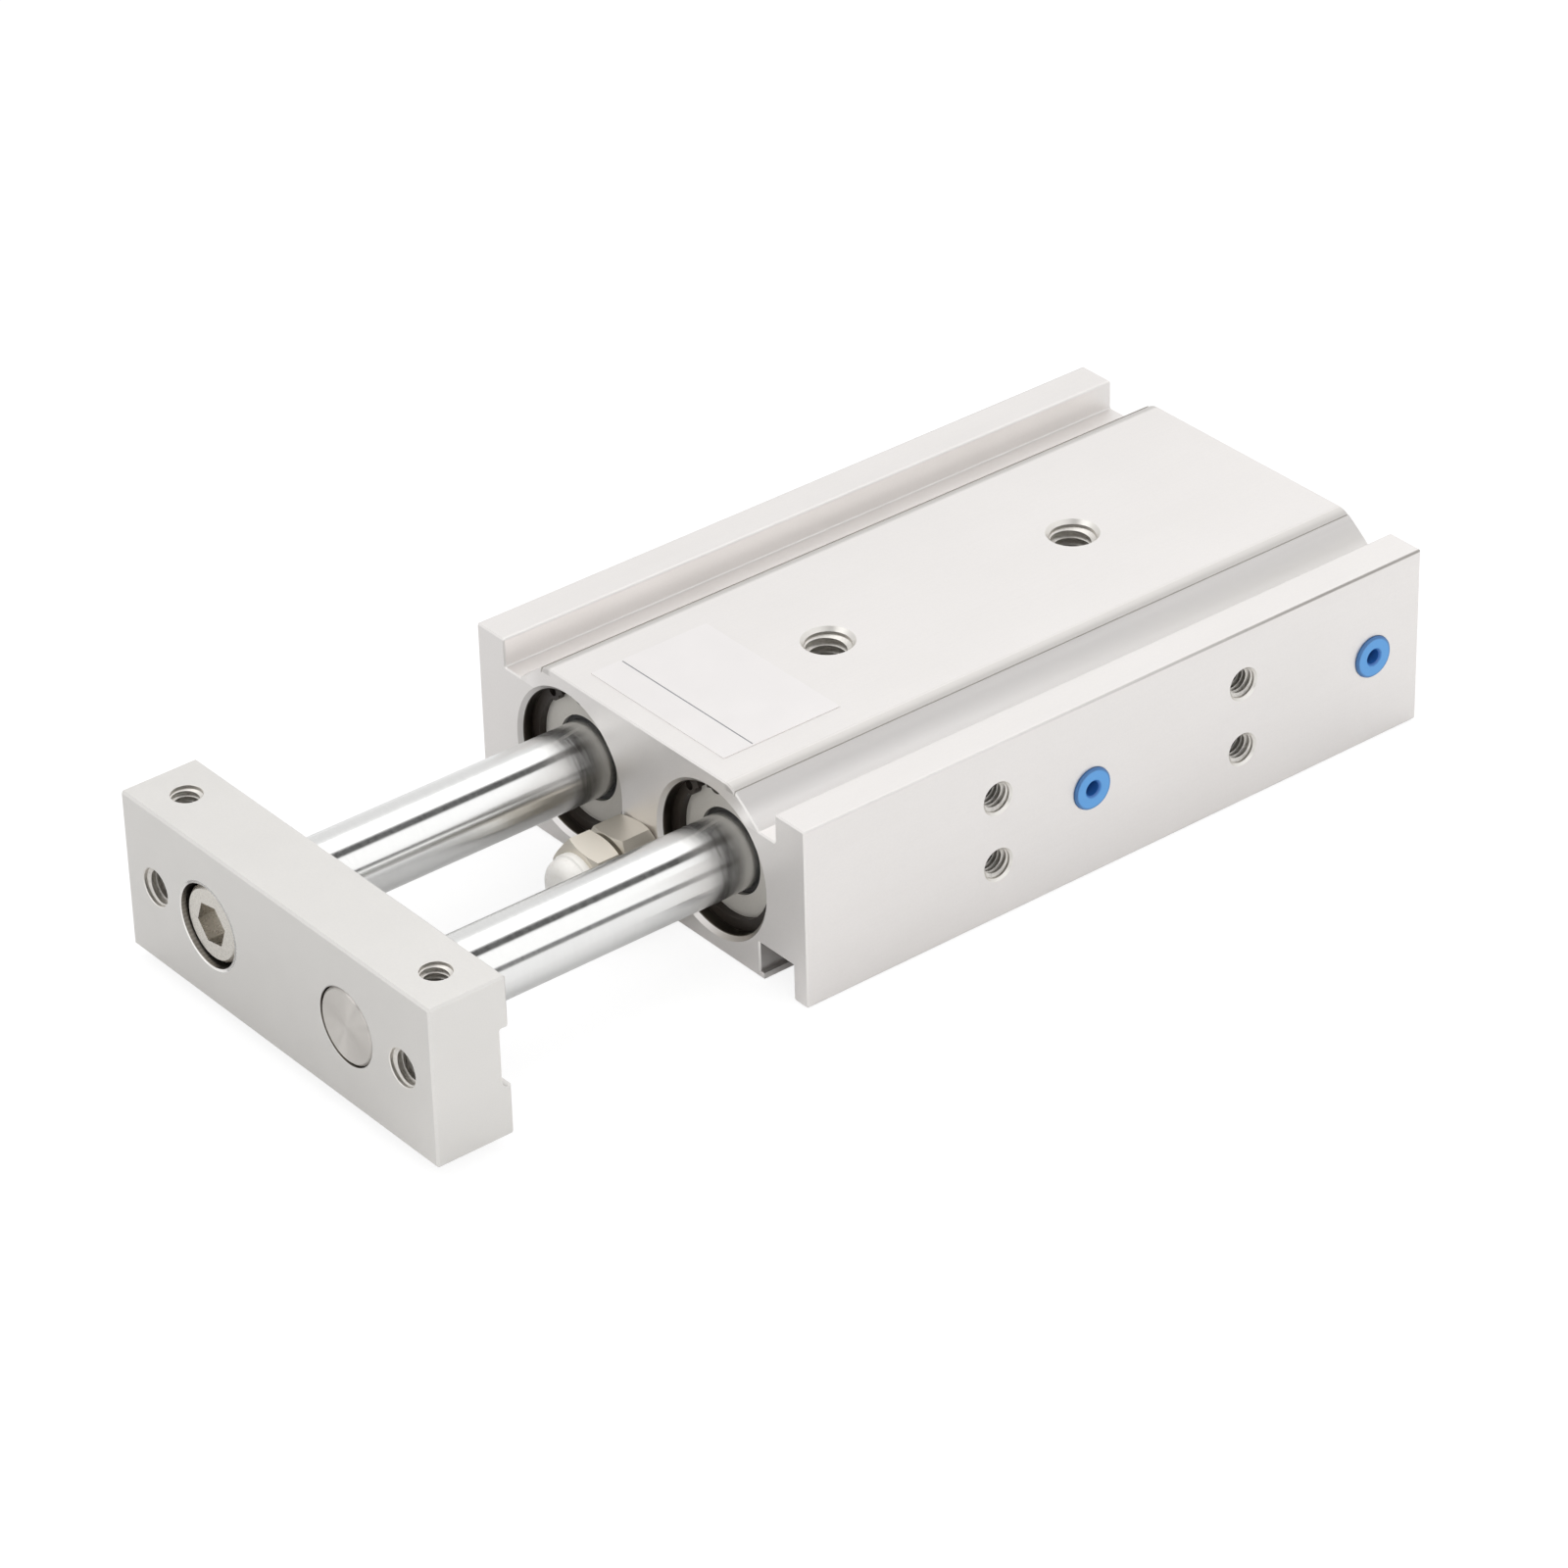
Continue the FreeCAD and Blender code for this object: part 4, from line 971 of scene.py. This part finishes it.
@dataclass(frozen=True)
class Panel:
    """A long panel beside the object, parallel to X, as a studio hangs them.

    angle_deg is the panel's middle, seen along X, from +Y up towards +Z; spread_deg is how much
    of that circle it takes up. A card is only seen in reflections. A lamp doesn't hide what is
    behind it from a reflection, so a card stands behind each lamp and keeps the white
    surroundings from adding to it.
    """

    name: str
    kind: PanelKind
    angle_deg: float
    spread_deg: float
    radiance: float
    distance: float = 0.9
    length: float = 1.8

    def size(self) -> tuple[float, float]:
        """Length and width of the panel."""
        return self.length, 2 * self.distance * math.tan(math.radians(self.spread_deg) / 2)

    def matrix(self, centre: Vector) -> Matrix:
        """Place the panel round a centre, with its -Z side towards it.

        Args:
            centre: Point that the panel faces.

        Returns:
            The panel's world matrix.
        """
        angle = math.radians(self.angle_deg)
        away = Vector((0.0, math.cos(angle), math.sin(angle)))
        along = Vector((1.0, 0.0, 0.0))
        turn = Matrix((along, away.cross(along), away)).transposed().to_4x4()
        return Matrix.Translation(centre + away * self.distance) @ turn

    def build(self, centre: Vector) -> None:
        """Make the panel and put it in its place.

        Args:
            centre: Point that the panel faces.
        """
        panel = self.lamp() if self.kind is PanelKind.LAMP else self.card()
        bpy.context.scene.collection.objects.link(panel)
        panel.matrix_world = self.matrix(centre)

    def lamp(self) -> bpy.types.Object:
        """Make the panel as an area lamp of its radiance.

        Returns:
            The lamp.
        """
        data = bpy.data.lights.new(self.name, "AREA")
        data.shape = "RECTANGLE"
        data.size, data.size_y = self.size()
        data.energy = self.radiance * math.pi * data.size * data.size_y
        return bpy.data.objects.new(self.name, data)

    def card(self) -> bpy.types.Object:
        """Make the panel as an evenly glowing card that only reflections show.

        Returns:
            The card.
        """
        mesh = rectangle(self.name, *self.size())
        tree = bare_material(mesh)
        glow = add_node(tree, "ShaderNodeEmission", {"Strength": self.radiance})
        add_node(tree, "ShaderNodeOutputMaterial", {"Surface": glow.outputs[0]})
        panel = bpy.data.objects.new(self.name, mesh)
        for rays in ("camera", "diffuse", "transmission", "volume_scatter", "shadow"):
            setattr(panel, f"visible_{rays}", False)
        panel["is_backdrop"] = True
        return panel


def rectangle(name: str, length: float, width: float) -> bpy.types.Mesh:
    """Make a flat mesh round the origin, with its face upwards.

    Args:
        name: Name of the mesh.
        length: Its size along X.
        width: Its size along Y.

    Returns:
        The mesh, of one face.
    """
    mesh = bpy.data.meshes.new(name)
    x, y = length / 2, width / 2
    points = [(-x, -y, 0), (x, -y, 0), (x, y, 0), (-x, y, 0)]
    mesh.from_pydata(points, [], [(0, 1, 2, 3)])
    return mesh


def bare_material(mesh: bpy.types.Mesh) -> bpy.types.NodeTree:
    """Give a mesh a new material of its own name.

    Args:
        mesh: Mesh that gets the material.

    Returns:
        The material's node tree, empty.
    """
    material = bpy.data.materials.new(mesh.name)
    material.use_nodes = True
    material.node_tree.nodes.clear()
    mesh.materials.append(material)
    return material.node_tree


PANELS = (
    Panel("low_dark_card", PanelKind.CARD, 8.5, 13.0, 0.2),
    Panel("side_lamp", PanelKind.LAMP, 39.0, 44.0, 0.98),
    Panel("side_lamp_backing", PanelKind.CARD, 39.0, 44.0, 0.25, 0.95),
    Panel("high_dark_card", PanelKind.CARD, 74.0, 19.0, 0.07),
    Panel("overhead_lamp", PanelKind.LAMP, 107.0, 40.0, 0.86),
    Panel("overhead_lamp_backing", PanelKind.CARD, 107.0, 40.0, 0.8, 0.95),
    Panel("far_grey_card", PanelKind.CARD, 158.0, 42.0, 0.88),
)


@dataclass
class Studio:
    """Pale floor, white surroundings, soft lamps and the camera.

    The paper on the floor carries a painted shade: it is a little greyer ahead of the housing and
    beside the rods, from shade_x[0] to shade_x[1] and from shade_y[0] to shade_y[1]. That grades
    what the front faces and the rods mirror.
    """

    centre: Vector
    floor_size: float = 6.0
    floor_drop: float = 0.0002
    floor_glow: float = 0.84
    floor_shadow: float = 0.22
    paper_colour: str = "#F6F6F6"
    shade_colour: str = "#E4E4E4"
    shade_x: tuple[float, float] = (0.03, 0.07)
    shade_y: tuple[float, float] = (0.034, 0.01)
    surroundings: float = 0.7
    azimuth_deg: float = 51.726
    elevation_deg: float = 32.3006
    roll_deg: float = -1.5588
    distance: float = 0.786078
    aim: Vector = field(default_factory=lambda: Vector((0.028839, 0.001698, 0.008590)))
    lens_mm: float = 146.23
    sensor_mm: float = 36.0
    clip_start: float = 0.01

    def build(self) -> None:
        """Build the whole studio."""
        self.world()
        self.floor()
        for panel in PANELS:
            panel.build(self.centre)
        self.camera()

    def camera(self) -> None:
        """Aim a long lens down on the object from the front right."""
        azimuth = math.radians(self.azimuth_deg)
        elevation = math.radians(self.elevation_deg)
        towards = Vector((math.cos(elevation) * math.cos(azimuth),
                          math.cos(elevation) * math.sin(azimuth), math.sin(elevation)))
        data = bpy.data.cameras.new("camera")
        data.lens = self.lens_mm
        data.sensor_width = self.sensor_mm
        data.clip_start = self.clip_start
        camera = bpy.data.objects.new("camera", data)
        bpy.context.scene.collection.objects.link(camera)
        turn = towards.to_track_quat("Z", "Y").to_matrix().to_4x4()
        roll = Matrix.Rotation(math.radians(self.roll_deg), 4, "Z")
        camera.matrix_world = Matrix.Translation(self.aim + towards * self.distance) @ turn @ roll
        bpy.context.scene.camera = camera

    def world(self) -> None:
        """White for the camera and for reflections, a soft grey for the light it gives."""
        world = bpy.data.worlds.new("white_surroundings")
        bpy.context.scene.world = world
        world.use_nodes = True
        tree = world.node_tree
        tree.nodes.clear()
        path = add_node(tree, "ShaderNodeLightPath")
        seen = self.seen(tree, path)
        white = linear("#FFFFFF")
        shown, light = (
            add_node(tree, "ShaderNodeBackground", {"Color": white, "Strength": strength})
            for strength in (1.0, self.surroundings)
        )
        mix = add_node(tree, "ShaderNodeMixShader", {
            0: seen, 1: light.outputs[0], 2: shown.outputs[0],
        })
        add_node(tree, "ShaderNodeOutputWorld", {"Surface": mix.outputs[0]})

    @staticmethod
    def seen(tree: bpy.types.NodeTree, path: bpy.types.Node) -> Socket:
        """Tell the rays that show the surroundings from those that only carry light.

        Args:
            tree: Node tree of the world.
            path: Its Light Path node.

        Returns:
            1 for rays from the camera, from a reflection or through glass, else 0.
        """
        every = path.outputs["Is Camera Ray"]
        for kind in ("Is Glossy Ray", "Is Transmission Ray"):
            either = {0: every, 1: path.outputs[kind]}
            every = add_node(tree, "ShaderNodeMath", either, operation="MAXIMUM").outputs[0]
        return every

    def paper(self, tree: bpy.types.NodeTree) -> Socket:
        """Mix the paper's colour with its shade.

        Args:
            tree: Node tree of the floor's material.

        Returns:
            The mixed colour.
        """
        place = add_node(tree, "ShaderNodeTexCoord")
        split = add_node(tree, "ShaderNodeSeparateXYZ", {"Vector": place.outputs["Object"]})
        ramps = [
            add_node(tree, "ShaderNodeMapRange", {
                "Value": split.outputs[axis], "From Min": start, "From Max": end,
            }).outputs["Result"]
            for axis, (start, end) in (("X", self.shade_x), ("Y", self.shade_y))
        ]
        shade = add_node(tree, "ShaderNodeMath", dict(enumerate(ramps)), operation="MULTIPLY")
        inputs = {0: shade.outputs[0], 6: linear(self.paper_colour), 7: linear(self.shade_colour)}
        return add_node(tree, "ShaderNodeMix", inputs, data_type="RGBA").outputs[2]

    def floor(self) -> None:
        """Make a pale floor that shows as white and keeps a faint shadow."""
        mesh = rectangle("floor", self.floor_size, self.floor_size)
        mesh.transform(Matrix.Translation((self.centre.x, self.centre.y, -self.floor_drop)))
        floor = bpy.data.objects.new("floor", mesh)
        bpy.context.scene.collection.objects.link(floor)
        tree = bare_material(mesh)
        path = add_node(tree, "ShaderNodeLightPath")
        paper = add_node(tree, "ShaderNodeBsdfDiffuse", {"Color": self.paper(tree)})
        grey = (self.floor_shadow, self.floor_shadow, self.floor_shadow, 1.0)
        thin = add_node(tree, "ShaderNodeBsdfDiffuse", {"Color": grey})
        glow = add_node(tree, "ShaderNodeEmission", {"Strength": self.floor_glow})
        shown = add_node(tree, "ShaderNodeAddShader", {0: thin.outputs[0], 1: glow.outputs[0]})
        mix = add_node(tree, "ShaderNodeMixShader", {
            0: path.outputs["Is Camera Ray"], 1: paper.outputs[0], 2: shown.outputs[0],
        })
        add_node(tree, "ShaderNodeOutputMaterial", {"Surface": mix.outputs[0]})
        floor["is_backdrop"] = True


def corners(box: tuple[Vector, Vector]) -> list[list[float]]:
    """Lowest and highest corner as plain numbers."""
    return [[round(value, 7) for value in corner] for corner in box]


def main() -> None:
    """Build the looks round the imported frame, in order, and report each piece."""
    logging.basicConfig(level=logging.INFO, format="%(name)s: %(message)s")
    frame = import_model()
    cad_box = corners(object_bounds())
    bpy.context.scene.view_settings.view_transform = "Standard"
    nodes = frame["nodes"]
    pieces = HousingLooks(nodes, frame["record"]).build()
    pieces += SlidingLooks(nodes, frame["record"]).build()
    LabelLooks(nodes).build()
    for piece in pieces:
        LOG.info("%s: %d faces", piece.name, len(piece.data.polygons))
    lowest, highest = (Vector(corner) for corner in cad_box)
    Studio((lowest + highest) / 2).build()


if __name__ == "__main__":
    main()
